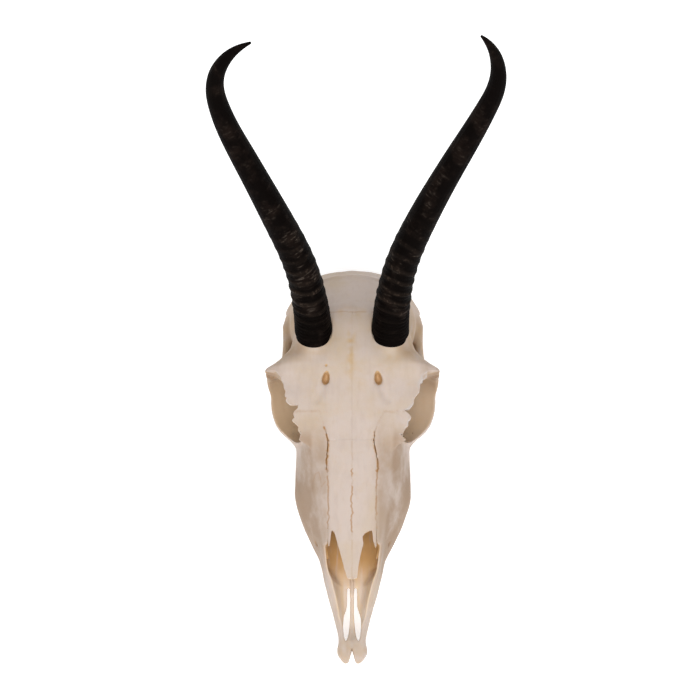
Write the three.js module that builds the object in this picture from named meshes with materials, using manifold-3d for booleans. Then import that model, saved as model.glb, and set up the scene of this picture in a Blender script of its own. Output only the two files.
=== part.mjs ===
// Springbok skull without its lower jaw, life size, resting on its cheek teeth and the two processes
// beside the neck joint. Millimetres, +Z up, the snout towards -Y, the animal's left side towards +X.
// Lengths along the skull are stations: distances behind the tip of the snout.
import * as THREE from "three";
import { LoftGeometry } from "three/addons/geometries/LoftGeometry.js";
import { mergeVertices } from "three/addons/utils/BufferGeometryUtils.js";
import Module from "manifold-3d";

const wasm = await Module();
wasm.setup();

// Driving dimensions
const suture = 0.3; // gap left between neighbouring bones
const overallCentre = 121.93; // station of the middle of the whole object, horns included
const overallAside = 1.66; // how far the same middle lies to the left, as the two horns differ
const floorLevel = 5; // height of the floor in the drawing; the teeth are worn down to it
const sides = { left: 1, right: -1 };

const snout = {
  stations: [0, 1.2, 3.5, 8, 13, 19, 26, 33, 40, 47, 54, 60, 66, 72, 79, 86, 94, 102, 110, 118, 126, 132],
  points: 30,
  roof: [[0, 15.5], [3, 17.5], [20, 23], [33, 38.5], [40, 43.5], [55, 51], [75, 60.5], [100, 71], [132, 80]],
  width: [[0, 4.6], [1.2, 6.4], [4, 7.6], [12, 7.3], [23, 9.3], [33, 12], [43, 15], [54, 18], [64, 22.6],
    [75, 27], [90, 30.6], [108, 30.2], [122, 27], [132, 22]],
  widest: [[0, 13], [23, 15.5], [43, 20], [54, 23], [75, 25], [108, 27], [132, 40]],
  shoulder: [[0, 3.6], [4, 6.2], [12, 6.2], [23, 7.8], [33, 10.4], [43, 13], [54, 15.4], [75, 18.8], [90, 20.8],
    [108, 24.5], [132, 20]],
  shoulderLift: 0.8, // height of the shoulder between the widest point and the roof
  nasals: [[0, 2.4], [12, 3.4], [23, 5], [33, 8], [43, 10.6], [54, 12.2], [64, 12.8], [90, 13.8], [108, 17],
    [132, 16]],
  nasalDrop: [[0, 1.2], [33, 2], [64, 2.6], [132, 2.6]],
  floor: [[0, 10.6], [12, 11], [30, 12.5], [45, 14.5], [60, 15.5], [112, 16.5], [122, 24], [132, 38]],
  gum: 0.94, // half width at the tooth sockets as a share of the widest
  palateVault: 1.6,
};

const noseCavity = {
  stations: [-4, 6, 14, 22, 30, 38, 46, 54, 62, 72, 84, 96, 104],
  points: 22,
  roofThickness: 2.2,
  wall: 3.2,
  widest: 15.5,
  floorThickness: 4,
  lowest: 8, // height of the passage at its open end
};

const noseOpening = {
  rim: [[-6, 15], [4, 17.2], [12, 18.3], [22, 20.5], [32, 25], [42, 31.5], [50, 38.5], [57, 45], [60, 49]],
  steps: 16,
};

const palateSlit = { start: 10.5, end: 39.5, strip: 2.4, stripBack: 1.3, width: 3.4, widestAt: 0.34, points: 14 };
const snoutNotch = { depth: 5.5, width: 1.5 };

const nasal = {
  tip: 36.5,
  tipHalfWidth: 2.4,
  notch: 58, // station of the notch between nasal and cheek
  notchHalfWidth: 7.6,
  back: 101,
  backRise: 4.5, // how far the outer back corner lies in front of the middle
  wallDepth: 11,
  slitStart: 86,
  slitEnd: 108,
  slitWidth: 0.9,
};

const brow = {
  stations: [97, 101, 105, 110, 115, 120, 126, 131, 135, 138, 141, 144, 148, 154, 161, 168, 174],
  points: 26,
  roof: [[97, 68], [110, 75.2], [125, 81], [147, 87.5], [160, 88], [168, 86], [174, 80]],
  edge: [[97, 15], [101, 21], [105, 25.5], [110, 28], [116, 29.5], [126, 33.5], [133, 39], [138, 44.4],
    [141, 44.2], [145, 36.5], [152, 31.5], [161, 29.5], [174, 24]],
  edgeHeight: [[97, 62], [105, 67], [116, 72.6], [126, 75.2], [138, 74], [146, 77], [160, 76], [174, 66]],
  fall: [[97, 0.12], [125, 0.12], [145, 0.06], [174, 0.1]], // share of the drop reached near the midline
  outerFall: [[97, 0.5], [125, 0.5], [145, 0.3], [165, 0.34], [174, 0.5]],
  edgeThickness: 3.2,
  innerWall: [[97, 13], [120, 14], [140, 16], [174, 20]],
  base: [[97, 48], [110, 44], [174, 44]],
};

const orbit = {
  centre: [35.3, 123.5, 58.9],
  outward: [0.86, -0.43, 0.26],
  along: 18.3, // half opening from front to back
  upward: 16.2, // half opening from bottom to top
  rim: 2.6,
  depth: 27,
  bottom: 0.34, // share of the opening left at the deep end
  rings: 6,
  points: 20,
};

const cheekArch = {
  path: [[24, 96, 30], [26.6, 105, 33.5], [30.6, 114, 37.5], [37.2, 122, 40.5], [40.4, 131, 42.5], [40.2, 141, 44],
    [36.8, 151, 45.5], [34.6, 161, 46], [34.6, 171, 46], [30, 180, 47]],
  halfHeight: [[0, 8], [0.25, 6.5], [0.5, 5], [0.75, 4], [1, 5]],
  halfThickness: [[0, 4], [0.2, 2.9], [0.5, 2.5], [0.75, 2.3], [1, 5]],
  rings: 17,
  points: 10,
};

const jawShelf = { centre: [26, 167, 41], radii: [10.5, 18, 6] };

const eyeBar = {
  path: [[42, 139.5, 72], [42.6, 140.5, 65], [42.2, 141, 57], [40.6, 140.5, 45]],
  halfWidth: [[0, 3.2], [0.5, 2.8], [1, 4.5]],
  halfThickness: [[0, 1.7], [0.5, 1.8], [1, 2.2]],
  rings: 8,
  points: 10,
};

const braincase = {
  stations: [132, 138, 144, 150, 156, 162, 168, 174, 180, 186, 191, 195.5, 199, 202, 204.5, 205.6],
  points: 24,
  roof: [[132, 60], [140, 72], [150, 82], [160, 87], [168, 86], [178, 80], [188, 72], [196, 65], [201, 59.5],
    [204.5, 54], [205.6, 48]],
  width: [[132, 11], [140, 15], [148, 21.5], [156, 28], [164, 32], [174, 34], [186, 33.8], [193, 31],
    [199, 27.5], [204.5, 20], [205.6, 13]],
  widest: [[132, 48], [150, 58], [165, 57], [180, 52], [192, 46], [204.5, 40]],
  floor: [[132, 35], [150, 31], [170, 27], [190, 23], [204.5, 24]],
  crown: 0.66,
  crownLift: 0.76,
  flank: 0.86,
  flankDrop: 0.5,
  keel: 0.34,
};

const earBulb = { centre: [18.5, 175, 21.5], radii: [8, 10.5, 11.5] };
const neckJoint = { centre: [11, 200, 28.5], radii: [7.2, 7.5, 9.6], tilt: 0.35 };
const spineHole = { height: 40, halfWidth: 8.4, halfHeight: 7.4, from: 180, to: 215, points: 16 };
const footProcess = {
  path: [[24.5, 191, 38], [24.2, 190.5, 27], [23, 189, 15], [21.8, 187, 3]],
  halfLength: [[0, 7], [0.5, 4.6], [1, 2.6]],
  halfThickness: [[0, 6], [0.5, 2.6], [1, 1.7]],
  rings: 7,
  points: 10,
};
const throatPlate = {
  outline: [[104, 22], [112, 15.5], [121, 17], [132, 23], [143, 31], [146, 48], [104, 48]],
  inner: 7.6,
  thickness: 2.4,
};
const throatPassage = { from: 108, to: 137, halfWidth: 7.6, bottom: 8, roof: 42, points: 14 };

const teeth = {
  start: 64,
  lengths: [6, 7, 7.6, 11.2, 13, 13.4], // three premolars, then three molars
  widths: [5.6, 7.2, 8.6, 10.6, 11.4, 10.4],
  rowOffset: [[64, 15.8], [72, 19], [80, 21.6], [95, 24], [122, 23.4]],
  crown: 17.5, // from the worn face up into the socket
  spacing: 0.25,
  neck: 0.9,
  waist: 0.2,
  points: 16,
};

const browHole = { centre: [13.4, 129.4, 83], radii: [1.7, 3.2, 6] };

const horn = {
  base: { left: [19.4, 155.5, 84], right: [-20.4, 155.5, 84] },
  seatTilt: 0.32, // lean of the seat plane towards the back of the skull
  seatLift: 1.4,
  length: { left: 199, right: 196 },
  spread: {
    left: [[0, -1], [0.15, 9], [0.35, 23], [0.6, 26.5], [0.75, 23.5], [0.87, -6], [1, -43]],
    right: [[0, 0], [0.15, 10], [0.35, 24.5], [0.6, 23.5], [0.75, 16.5], [0.87, -20], [1, -60]],
  },
  lean: [[0, 63], [0.35, 57], [0.7, 60], [1, 80]], // angle above the horizontal, leaning back
  width: [[0, 19.6], [0.1, 17.8], [0.2, 16], [0.3, 14.8], [0.4, 13.7], [0.5, 12.5], [0.6, 11.4], [0.7, 10],
    [0.8, 8.4], [0.9, 5.6], [0.96, 3.2], [1, 1.2]],
  depthShare: [[0, 1.22], [0.5, 1.12], [1, 1]],
  rootDepth: 10,
  points: 14,
  ringSpacing: [[0, 5.2], [0.2, 6.4], [0.45, 8.5]],
  ringEnd: 0.46,
  ringHeight: 0.75,
  ringSteps: 2,
  smoothSteps: 20,
};
const pedicel = { flare: 1.4, height: 7, rings: 3 };

// Parting lines between the bones, as side or plan outlines
const braincaseParting = [[167, 240], [167, 62], [157, 38], [124, 38], [124, -20], [320, -20], [320, 240]];
const frontalBottom = 38;
const snoutParting = [[-40, -20], [41, -20], [41, 13], [60, 46], [60, 60], [-40, 60]];
const frontalParting = [[0, 99], [15.5, 99], [17, 113], [60, 113], [60, 260], [0, 260]];
const cheekParting = [[30.6, 102], [80, 102], [80, 163.5], [35.6, 163.5]];
const cheekPartingTop = 66;

// Materials
const boneFinish = new THREE.MeshStandardMaterial({ color: 0xd9c6ae, roughness: 0.7, metalness: 0 });
const hornFinish = new THREE.MeshStandardMaterial({ color: 0x14100e, roughness: 0.5, metalness: 0 });

// A size that varies along the skull: a monotone cubic through [place, size] pairs, level past both ends.
function track(pairs) {
  const at = pairs.map((pair) => pair[0]);
  const size = pairs.map((pair) => pair[1]);
  const slopes = at.slice(1).map((place, i) => (size[i + 1] - size[i]) / (place - at[i]));
  const tangents = at.map((place, i) => {
    if (i === 0) return slopes[0];
    if (i === at.length - 1) return slopes[i - 1];
    const product = slopes[i - 1] * slopes[i];
    return product <= 0 ? 0 : (2 * product) / (slopes[i - 1] + slopes[i]);
  });
  return (place) => {
    if (place <= at[0]) return size[0];
    if (place >= at[at.length - 1]) return size[size.length - 1];
    const i = at.findIndex((next) => next > place) - 1;
    const span = at[i + 1] - at[i];
    const t = (place - at[i]) / span;
    const blend = t * t * (3 - 2 * t);
    const rise = tangents[i] * t * (1 - t) * (1 - t) - tangents[i + 1] * t * t * (1 - t);
    return size[i] + (size[i + 1] - size[i]) * blend + span * rise;
  };
}

// A closed geometry as a manifold solid facing out.
function solid(geometry) {
  const bare = new THREE.BufferGeometry();
  bare.setAttribute("position", geometry.getAttribute("position"));
  bare.setIndex(geometry.index);
  const merged = mergeVertices(bare, 1e-4);
  const triangles = new Uint32Array(merged.index.array);
  const vertices = new Float32Array(merged.attributes.position.array);
  const build = () => new wasm.Manifold(new wasm.Mesh({ numProp: 3, vertProperties: vertices, triVerts: triangles }));
  const made = build();
  if (made.volume() > 0) return made;
  for (let i = 0; i < triangles.length; i += 3) {
    [triangles[i + 1], triangles[i + 2]] = [triangles[i + 2], triangles[i + 1]];
  }
  return build();
}

// The skin over a row of rings, closed at both ends, with the rings turned so that it faces out.
function loft(rings) {
  const middle = (ring) => ring.reduce((sum, p) => sum.add(p), new THREE.Vector3()).divideScalar(ring.length);
  const start = middle(rings[0]);
  const ahead = middle(rings[1]).sub(start);
  const turn = new THREE.Vector3();
  rings[0].forEach((point, i) => {
    const next = rings[0][(i + 1) % rings[0].length];
    turn.add(new THREE.Vector3().crossVectors(point.clone().sub(start), next.clone().sub(start)));
  });
  const ordered = turn.dot(ahead) > 0 ? rings : rings.map((ring) => [...ring].reverse());
  return new LoftGeometry(ordered, { capStart: true, capEnd: true });
}

const skin = (rings) => solid(loft(rings));

// The same geometry on both sides of the skull.
function bothSides(geometry) {
  const first = solid(geometry);
  return first.add(solid(geometry.scale(-1, 1, 1)));
}

// A symmetric ring at a station, from half an outline that runs from the roof to the floor.
function bodyRing(station, half, points) {
  const mirrored = half.slice(1, -1).reverse().map(([x, z]) => [-x, z]);
  const corners = [...half, ...mirrored].map(([x, z]) => new THREE.Vector3(x, station, z));
  return new THREE.CatmullRomCurve3(corners, true, "centripetal").getPoints(points).slice(0, -1);
}

// Oval rings square to a path; across is the half size nearest to the sideways direction given.
function pathRings(path, across, upright, sideways, count, points) {
  const curve = new THREE.CatmullRomCurve3(path.map((p) => new THREE.Vector3(...p)), false, "centripetal");
  return Array.from({ length: count }, (_, i) => {
    const share = i / (count - 1);
    const centre = curve.getPointAt(share);
    const forward = curve.getTangentAt(share);
    const lateral = new THREE.Vector3(...sideways);
    lateral.addScaledVector(forward, -lateral.dot(forward)).normalize();
    const normal = new THREE.Vector3().crossVectors(forward, lateral);
    return ovalRing(centre, lateral, normal, across(share), upright(share), points);
  });
}

function ovalRing(centre, first, second, firstRadius, secondRadius, points) {
  return Array.from({ length: points }, (_, k) => {
    const angle = (2 * Math.PI * k) / points;
    return centre
      .clone()
      .addScaledVector(first, firstRadius * Math.cos(angle))
      .addScaledVector(second, secondRadius * Math.sin(angle));
  });
}

// A block with a plan outline of [x, station] corners between two heights.
function planBlock(outline, bottom, top) {
  const shape = new THREE.Shape(outline.map(([x, y]) => new THREE.Vector2(x, y)));
  const block = new THREE.ExtrudeGeometry(shape, { depth: top - bottom, bevelEnabled: false });
  return block.translate(0, 0, bottom);
}

// A block with a side outline of [station, height] corners between two sideways places.
function sideBlock(outline, from, to) {
  const shape = new THREE.Shape(outline.map(([y, z]) => new THREE.Vector2(y, z)));
  const block = new THREE.ExtrudeGeometry(shape, { depth: to - from, bevelEnabled: false });
  block.applyMatrix4(new THREE.Matrix4().makeBasis(
    new THREE.Vector3(0, 1, 0),
    new THREE.Vector3(0, 0, 1),
    new THREE.Vector3(1, 0, 0),
  ));
  return block.translate(from, 0, 0);
}

const ellipsoid = (centre, radii, columns = 14, rows = 8) =>
  new THREE.SphereGeometry(1, columns, rows).scale(...radii).translate(...centre);

// Splits a solid by a block, leaving the suture gap: what lies in the block, and what lies outside it.
function part(whole, inside, outside) {
  return [whole.intersect(inside), whole.subtract(outside)];
}

// The largest body of a solid, which drops scraps and fills sealed hollows.
function largest(whole) {
  return whole.decompose().reduce((best, body) => (body.volume() > best.volume() ? body : best));
}

const snoutRoof = track(snout.roof);
const snoutWidth = track(snout.width);
const snoutWidest = track(snout.widest);
const snoutShoulder = track(snout.shoulder);
const nasalHalf = track(snout.nasals);
const nasalDrop = track(snout.nasalDrop);
const snoutFloor = track(snout.floor);

// Outer form of the snout and cheeks.
function snoutBody() {
  const rings = snout.stations.map((station) => {
    const roof = snoutRoof(station);
    const widest = snoutWidest(station);
    const width = snoutWidth(station);
    const floor = snoutFloor(station);
    const shoulderHeight = widest + snout.shoulderLift * (roof - widest);
    return bodyRing(station, [
      [0, roof],
      [nasalHalf(station), roof - nasalDrop(station)],
      [snoutShoulder(station), shoulderHeight - nasalDrop(station)],
      [(snoutShoulder(station) + 2 * width) / 3, (2 * widest + shoulderHeight) / 3],
      [width, widest],
      [width * snout.gum, floor],
      [width * snout.gum * 0.5, floor + snout.palateVault],
      [0, floor + snout.palateVault],
    ], snout.points);
  });
  return skin(rings);
}

// Air passage of the nose, open at the front.
function noseHollow() {
  const rings = noseCavity.stations.map((station) => {
    const width = Math.min(snoutWidth(station) - noseCavity.wall, noseCavity.widest);
    const floor = snoutFloor(station) + noseCavity.floorThickness;
    const roof = Math.max(snoutRoof(station) - noseCavity.roofThickness, floor + noseCavity.lowest);
    const edge = Math.min(nasalHalf(station), width) - 0.6;
    return bodyRing(station, [
      [0, roof],
      [edge, roof - nasalDrop(station)],
      [width, (roof + 2 * floor) / 3],
      [width * 0.8, floor],
      [0, floor - 0.5],
    ], noseCavity.points);
  });
  return skin(rings);
}

// Everything above the rim of the nose opening, seen from the side.
function noseWindow() {
  const rim = track(noseOpening.rim);
  const start = noseOpening.rim[0][0];
  const end = noseOpening.rim[noseOpening.rim.length - 1][0];
  const line = Array.from({ length: noseOpening.steps + 1 }, (_, i) => {
    const station = start + ((end - start) * i) / noseOpening.steps;
    return [station, rim(station)];
  });
  return solid(sideBlock([...line, [end, 80], [start, 80]], -30, 30));
}

// The long slit through the floor of the nose beside the midline.
function palateSlits() {
  const { start, end, strip, stripBack, width, widestAt, points } = palateSlit;
  const outline = [];
  for (let i = 0; i <= points; i += 1) {
    const share = i / points;
    const swell = Math.sin(Math.PI * Math.pow(share, Math.log(0.5) / Math.log(widestAt)));
    const inner = strip + (stripBack - strip) * share;
    outline.push([inner + 0.4 + width * swell, start + (end - start) * share]);
  }
  outline.push([stripBack, end], [strip, start]);
  return bothSides(planBlock(outline, 0, 24));
}

function snoutTipNotch() {
  const { depth, width } = snoutNotch;
  return solid(planBlock([[-width, -3], [width, -3], [0.2, depth], [-0.2, depth]], 0, 24));
}

// Plan outline of both nasal bones, grown sideways by a margin and by the slit beside the frontal.
function nasalOutline(margin, withSlit) {
  const { tip, tipHalfWidth, notch, notchHalfWidth, back, backRise, slitStart, slitEnd, slitWidth } = nasal;
  const flank = [tip, tip + 6, notch - 6, notch];
  const half = flank.map((station) => {
    const share = (station - tip) / (notch - tip);
    return [tipHalfWidth + (notchHalfWidth - tipHalfWidth) * share + margin, station];
  });
  half[0][1] -= margin;
  for (let station = notch + 2; station < back - backRise; station += 6) {
    const slitShare = (station - slitStart) / (slitEnd - slitStart);
    const slit = withSlit && slitShare > 0 && slitShare < 1 ? slitWidth * Math.sin(Math.PI * slitShare) : 0;
    half.push([nasalHalf(station) - 0.4 + margin + slit, station]);
  }
  half.push([nasalHalf(back) - 3 + margin, back - backRise + margin], [0, back + margin]);
  const mirrored = half.slice(0, -1).reverse().map(([x, y]) => [-x, y]);
  return [...half, ...mirrored];
}

// Block over the nasal bones: their plan outline, cut off below by a floor that follows the roof.
function nasalBlock(margin, withSlit) {
  const column = solid(planBlock(nasalOutline(margin, withSlit), 20, 110));
  const stations = [nasal.tip - 4, 50, 65, 80, nasal.back + 6];
  const floorLine = stations.map((station) => [station, snoutRoof(station) - nasal.wallDepth - margin]);
  const below = [...floorLine, [nasal.back + 6, 0], [nasal.tip - 4, 0]];
  return column.subtract(solid(sideBlock(below, -40, 40)));
}

// Forehead with the roofs of the eye sockets, down to the wall between them.
function browBody() {
  const roof = track(brow.roof);
  const edge = track(brow.edge);
  const edgeHeight = track(brow.edgeHeight);
  const innerWall = track(brow.innerWall);
  const base = track(brow.base);
  const fall = track(brow.fall);
  const outerFall = track(brow.outerFall);
  const rings = brow.stations.map((station) => {
    const top = roof(station);
    const rim = edge(station);
    const height = edgeHeight(station);
    const inner = innerWall(station);
    const low = base(station);
    return bodyRing(station, [
      [0, top],
      [rim * 0.42, top - fall(station) * (top - height)],
      [rim * 0.76, top - outerFall(station) * (top - height)],
      [rim, height],
      [rim - 1.5, height - brow.edgeThickness],
      [inner + 0.35 * (rim - inner), height - 0.3 * (height - low)],
      [inner, (height + 2 * low) / 3],
      [inner * 0.7, low],
      [0, low],
    ], brow.points);
  });
  return skin(rings);
}

// Directions of one eye socket: outward from the skull, upward and backward along its rim.
function orbitAxes() {
  const outward = new THREE.Vector3(...orbit.outward).normalize();
  const upward = new THREE.Vector3(0, 0, 1);
  upward.addScaledVector(outward, -upward.dot(outward)).normalize();
  const backward = new THREE.Vector3().crossVectors(upward, outward).negate();
  return { outward, upward, backward };
}

// A cone along the eye socket's axis, from a depth below the rim to a height above it.
function orbitCone(margin, from, to) {
  const { outward, upward, backward } = orbitAxes();
  const rings = Array.from({ length: orbit.rings }, (_, i) => {
    const reach = from + ((to - from) * i) / (orbit.rings - 1);
    const share = reach / orbit.depth;
    const scale = reach > 0 ? 1 + 0.25 * share : 1 - (1 - orbit.bottom) * share * share;
    const centre = new THREE.Vector3(...orbit.centre).addScaledVector(outward, reach);
    const along = orbit.along * scale + margin;
    const high = orbit.upward * scale + margin;
    return ovalRing(centre, backward, upward, along, high, orbit.points);
  });
  return loft(rings);
}

const archHeight = track(cheekArch.halfHeight);
const archThickness = track(cheekArch.halfThickness);
function archTube() {
  const { path, rings, points } = cheekArch;
  const tube = pathRings(path, archThickness, archHeight, [1, 0, 0.15], rings, points);
  return loft(tube);
}

function eyeBarTube() {
  const { path, halfWidth, halfThickness, rings, points } = eyeBar;
  const tube = pathRings(path, track(halfWidth), track(halfThickness), [0.3, 1, 0], rings, points);
  return loft(tube);
}

function braincaseBody() {
  const roof = track(braincase.roof);
  const width = track(braincase.width);
  const widest = track(braincase.widest);
  const floor = track(braincase.floor);
  const rings = braincase.stations.map((station) => {
    const top = roof(station);
    const half = width(station);
    const middle = widest(station);
    const low = floor(station);
    return bodyRing(station, [
      [0, top],
      [half * braincase.crown, middle + braincase.crownLift * (top - middle)],
      [half, middle],
      [half * braincase.flank, middle - braincase.flankDrop * (middle - low)],
      [half * braincase.keel, low],
      [0, low],
    ], braincase.points);
  });
  return skin(rings);
}

// Joint knob for the neck, tilted in towards the spine hole.
function neckKnob() {
  const { centre, radii, tilt } = neckJoint;
  const knob = new THREE.SphereGeometry(1, 14, 8).scale(...radii).rotateY(tilt);
  return knob.translate(...centre);
}

function spinePassage() {
  const { height, halfWidth, halfHeight, from, to, points } = spineHole;
  const rings = [from, to].map((station) => ovalRing(
    new THREE.Vector3(0, station, height),
    new THREE.Vector3(1, 0, 0),
    new THREE.Vector3(0, 0, 1),
    halfWidth,
    halfHeight,
    points,
  ));
  return skin(rings);
}

// The process beside the neck joint, cut level with the floor at its tip.
function footTube() {
  const { path, halfLength, halfThickness, rings, points } = footProcess;
  const tube = pathRings(path, track(halfThickness), track(halfLength), [1, 0, 0], rings, points);
  return loft(tube);
}

function throatPlates() {
  const { outline, inner, thickness } = throatPlate;
  return bothSides(sideBlock(outline, inner, inner + thickness));
}

function throatHollow() {
  const { from, to, halfWidth, bottom, roof, points } = throatPassage;
  const middle = (bottom + roof) / 2;
  const rings = [from, from + 2, to].map((station, i) => ovalRing(
    new THREE.Vector3(0, station, middle),
    new THREE.Vector3(1, 0, 0),
    new THREE.Vector3(0, 0, 1),
    i ? halfWidth : halfWidth * 0.8,
    (roof - bottom) / (i ? 2 : 2.4),
    points,
  ));
  return skin(rings);
}

// One cheek tooth: an oblong crown with a waist on the molars, from the worn face to the socket.
function tooth(index, station) {
  const length = teeth.lengths[index] - teeth.spacing;
  const width = teeth.widths[index];
  const offset = track(teeth.rowOffset)(station);
  const waist = index > 2 ? teeth.waist : 0;
  const rings = [0, teeth.crown * 0.5, teeth.crown].map((height) => {
    const scale = height ? 1 : teeth.neck;
    return Array.from({ length: teeth.points }, (_, k) => {
      const angle = (2 * Math.PI * k) / teeth.points;
      const along = Math.sign(Math.cos(angle)) * Math.pow(Math.abs(Math.cos(angle)), 0.7);
      const across = Math.sign(Math.sin(angle)) * Math.pow(Math.abs(Math.sin(angle)), 0.7);
      const pinch = 1 - waist * Math.exp(-Math.pow(along / 0.25, 2));
      const x = offset + (width / 2) * across * pinch * scale;
      return new THREE.Vector3(x, station + (length / 2) * along, height);
    });
  });
  return loft(rings);
}

function toothRows() {
  let station = teeth.start;
  let rows = null;
  teeth.lengths.forEach((length, index) => {
    const pair = bothSides(tooth(index, station + length / 2));
    rows = rows ? rows.add(pair) : pair;
    station += length;
  });
  return rows;
}

// Plane that the horn and its bony stump share, lifted by a clearance along its normal.
function seatPlane(side, clearance) {
  const normal = new THREE.Vector3(0, Math.sin(horn.seatTilt), Math.cos(horn.seatTilt));
  const point = new THREE.Vector3(...horn.base[side > 0 ? "left" : "right"]);
  point.addScaledVector(normal, horn.seatLift + clearance);
  return { normal, point };
}

// A large block on the far side of the seat plane: above it, or below it.
function seatBlock(side, clearance, above) {
  const { normal, point } = seatPlane(side, clearance);
  const size = 300;
  const block = new THREE.BoxGeometry(size, size, size).translate(0, 0, above ? size / 2 : -size / 2);
  block.applyQuaternion(new THREE.Quaternion().setFromUnitVectors(new THREE.Vector3(0, 0, 1), normal));
  return solid(block.translate(point.x, point.y, point.z));
}

// Centre line of a horn: small steps whose direction leans back and spreads as the tracks say.
function hornLine(name) {
  const side = sides[name];
  const lean = track(horn.lean);
  const spread = track(horn.spread[name]);
  const steps = 160;
  const step = horn.length[name] / steps;
  const place = new THREE.Vector3(...horn.base[name]);
  const line = [];
  const heading = (share) => {
    const up = THREE.MathUtils.degToRad(lean(share));
    const out = THREE.MathUtils.degToRad(spread(share));
    const flat = Math.cos(out);
    return new THREE.Vector3(side * Math.sin(out), flat * Math.cos(up), flat * Math.sin(up));
  };
  line.push(place.clone().addScaledVector(heading(0), -horn.rootDepth));
  for (let i = 0; i <= steps; i += 1) {
    line.push(place.clone());
    place.addScaledVector(heading((i + 0.5) / steps), step);
  }
  return { curve: new THREE.CatmullRomCurve3(line, false, "centripetal"), heading };
}

// Stations of the growth rings from the base upwards, as shares of the horn's length.
function ringShares(name) {
  const spacing = track(horn.ringSpacing);
  const shares = [];
  let share = 0.02;
  while (share < horn.ringEnd) {
    shares.push(share);
    share += spacing(share) / horn.length[name];
  }
  return shares;
}

// Rings of the horn: a swelling at each growth ring that fades up the horn, then a smooth taper to the tip.
function hornRings(name, margin) {
  const { curve, heading } = hornLine(name);
  const width = track(horn.width);
  const depthShare = track(horn.depthShare);
  const rootShare = horn.rootDepth / (horn.rootDepth + horn.length[name]);
  const growth = ringShares(name);
  const stops = [[-rootShare / (1 - rootShare), 0]];
  growth.forEach((share, i) => {
    const next = i + 1 < growth.length ? growth[i + 1] : horn.ringEnd;
    const fade = 1 - share / (horn.ringEnd * 1.15);
    for (let k = 0; k < horn.ringSteps; k += 1) {
      const swell = k === 1 ? 1 : 0;
      stops.push([share + ((next - share) * k) / horn.ringSteps, swell * fade]);
    }
  });
  for (let k = 0; k <= horn.smoothSteps; k += 1) {
    stops.push([horn.ringEnd + ((1 - horn.ringEnd) * k) / horn.smoothSteps, 0]);
  }
  return stops.map(([share, swell]) => {
    const along = Math.min(1, rootShare + Math.max(share, -rootShare / (1 - rootShare)) * (1 - rootShare));
    const centre = curve.getPointAt(along);
    const forward = heading(Math.max(share, 0));
    const lateral = new THREE.Vector3(1, 0, 0);
    lateral.addScaledVector(forward, -lateral.dot(forward)).normalize();
    const normal = new THREE.Vector3().crossVectors(forward, lateral);
    const half = width(share) / 2 + swell * horn.ringHeight + margin;
    return ovalRing(centre, lateral, normal, half, half * depthShare(share), horn.points);
  });
}

function hornSheath(name) {
  return largest(skin(hornRings(name, 0)).intersect(seatBlock(sides[name], suture / 2, true)));
}

// Bony stump under the horn, flared into the forehead and cut level at the seat plane.
function hornStump(name) {
  const { curve, heading } = hornLine(name);
  const width = track(horn.width)(0);
  const rings = Array.from({ length: pedicel.rings + 1 }, (_, i) => {
    const share = i / pedicel.rings;
    const flare = pedicel.flare * (1 - share) * (1 - share) - 0.6 * share;
    const centre = curve.getPoint(0).addScaledVector(heading(0), share * (horn.rootDepth + pedicel.height));
    const lateral = new THREE.Vector3(1, 0, 0);
    const normal = new THREE.Vector3().crossVectors(heading(0), lateral);
    const half = width / 2 + flare;
    return ovalRing(centre, lateral, normal, half, half * horn.depthShare[0][1], horn.points);
  });
  return skin(rings).intersect(seatBlock(sides[name], -suture / 2, false));
}

// The whole skull before it is parted, without the nasal bones.
function skullBody() {
  const socketWall = orbitCone(orbit.rim, -orbit.depth, 0);
  const socketHollow = orbitCone(0, -orbit.depth * 0.97, 12);
  let body = snoutBody().subtract(noseHollow()).subtract(palateSlits()).subtract(snoutTipNotch());
  const nasals = body.intersect(nasalBlock(0, false));
  body = body.subtract(nasalBlock(suture, true)).subtract(noseWindow());
  body = body.add(toothRows()).add(browBody().subtract(nasalBlock(suture, true)));
  body = body.add(bothSides(socketWall)).add(throatPlates()).add(braincaseBody());
  body = body.subtract(throatHollow()).subtract(bothSides(socketHollow));
  body = body.add(bothSides(archTube())).add(bothSides(eyeBarTube()));
  body = body.add(bothSides(ellipsoid(jawShelf.centre, jawShelf.radii)));
  body = body.add(bothSides(ellipsoid(earBulb.centre, earBulb.radii)));
  body = body.add(bothSides(neckKnob())).subtract(spinePassage()).add(bothSides(footTube()));
  body = body.subtract(bothSides(ellipsoid(browHole.centre, browHole.radii, 10, 8)));
  Object.keys(sides).forEach((name) => {
    const horned = skin(hornRings(name, suture)).intersect(seatBlock(sides[name], -suture / 2, true));
    body = body.add(hornStump(name)).subtract(horned);
  });
  const ground = new THREE.BoxGeometry(400, 800, 50).translate(0, 0, floorLevel - 25);
  return { body: body.subtract(solid(ground)), nasals };
}

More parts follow.
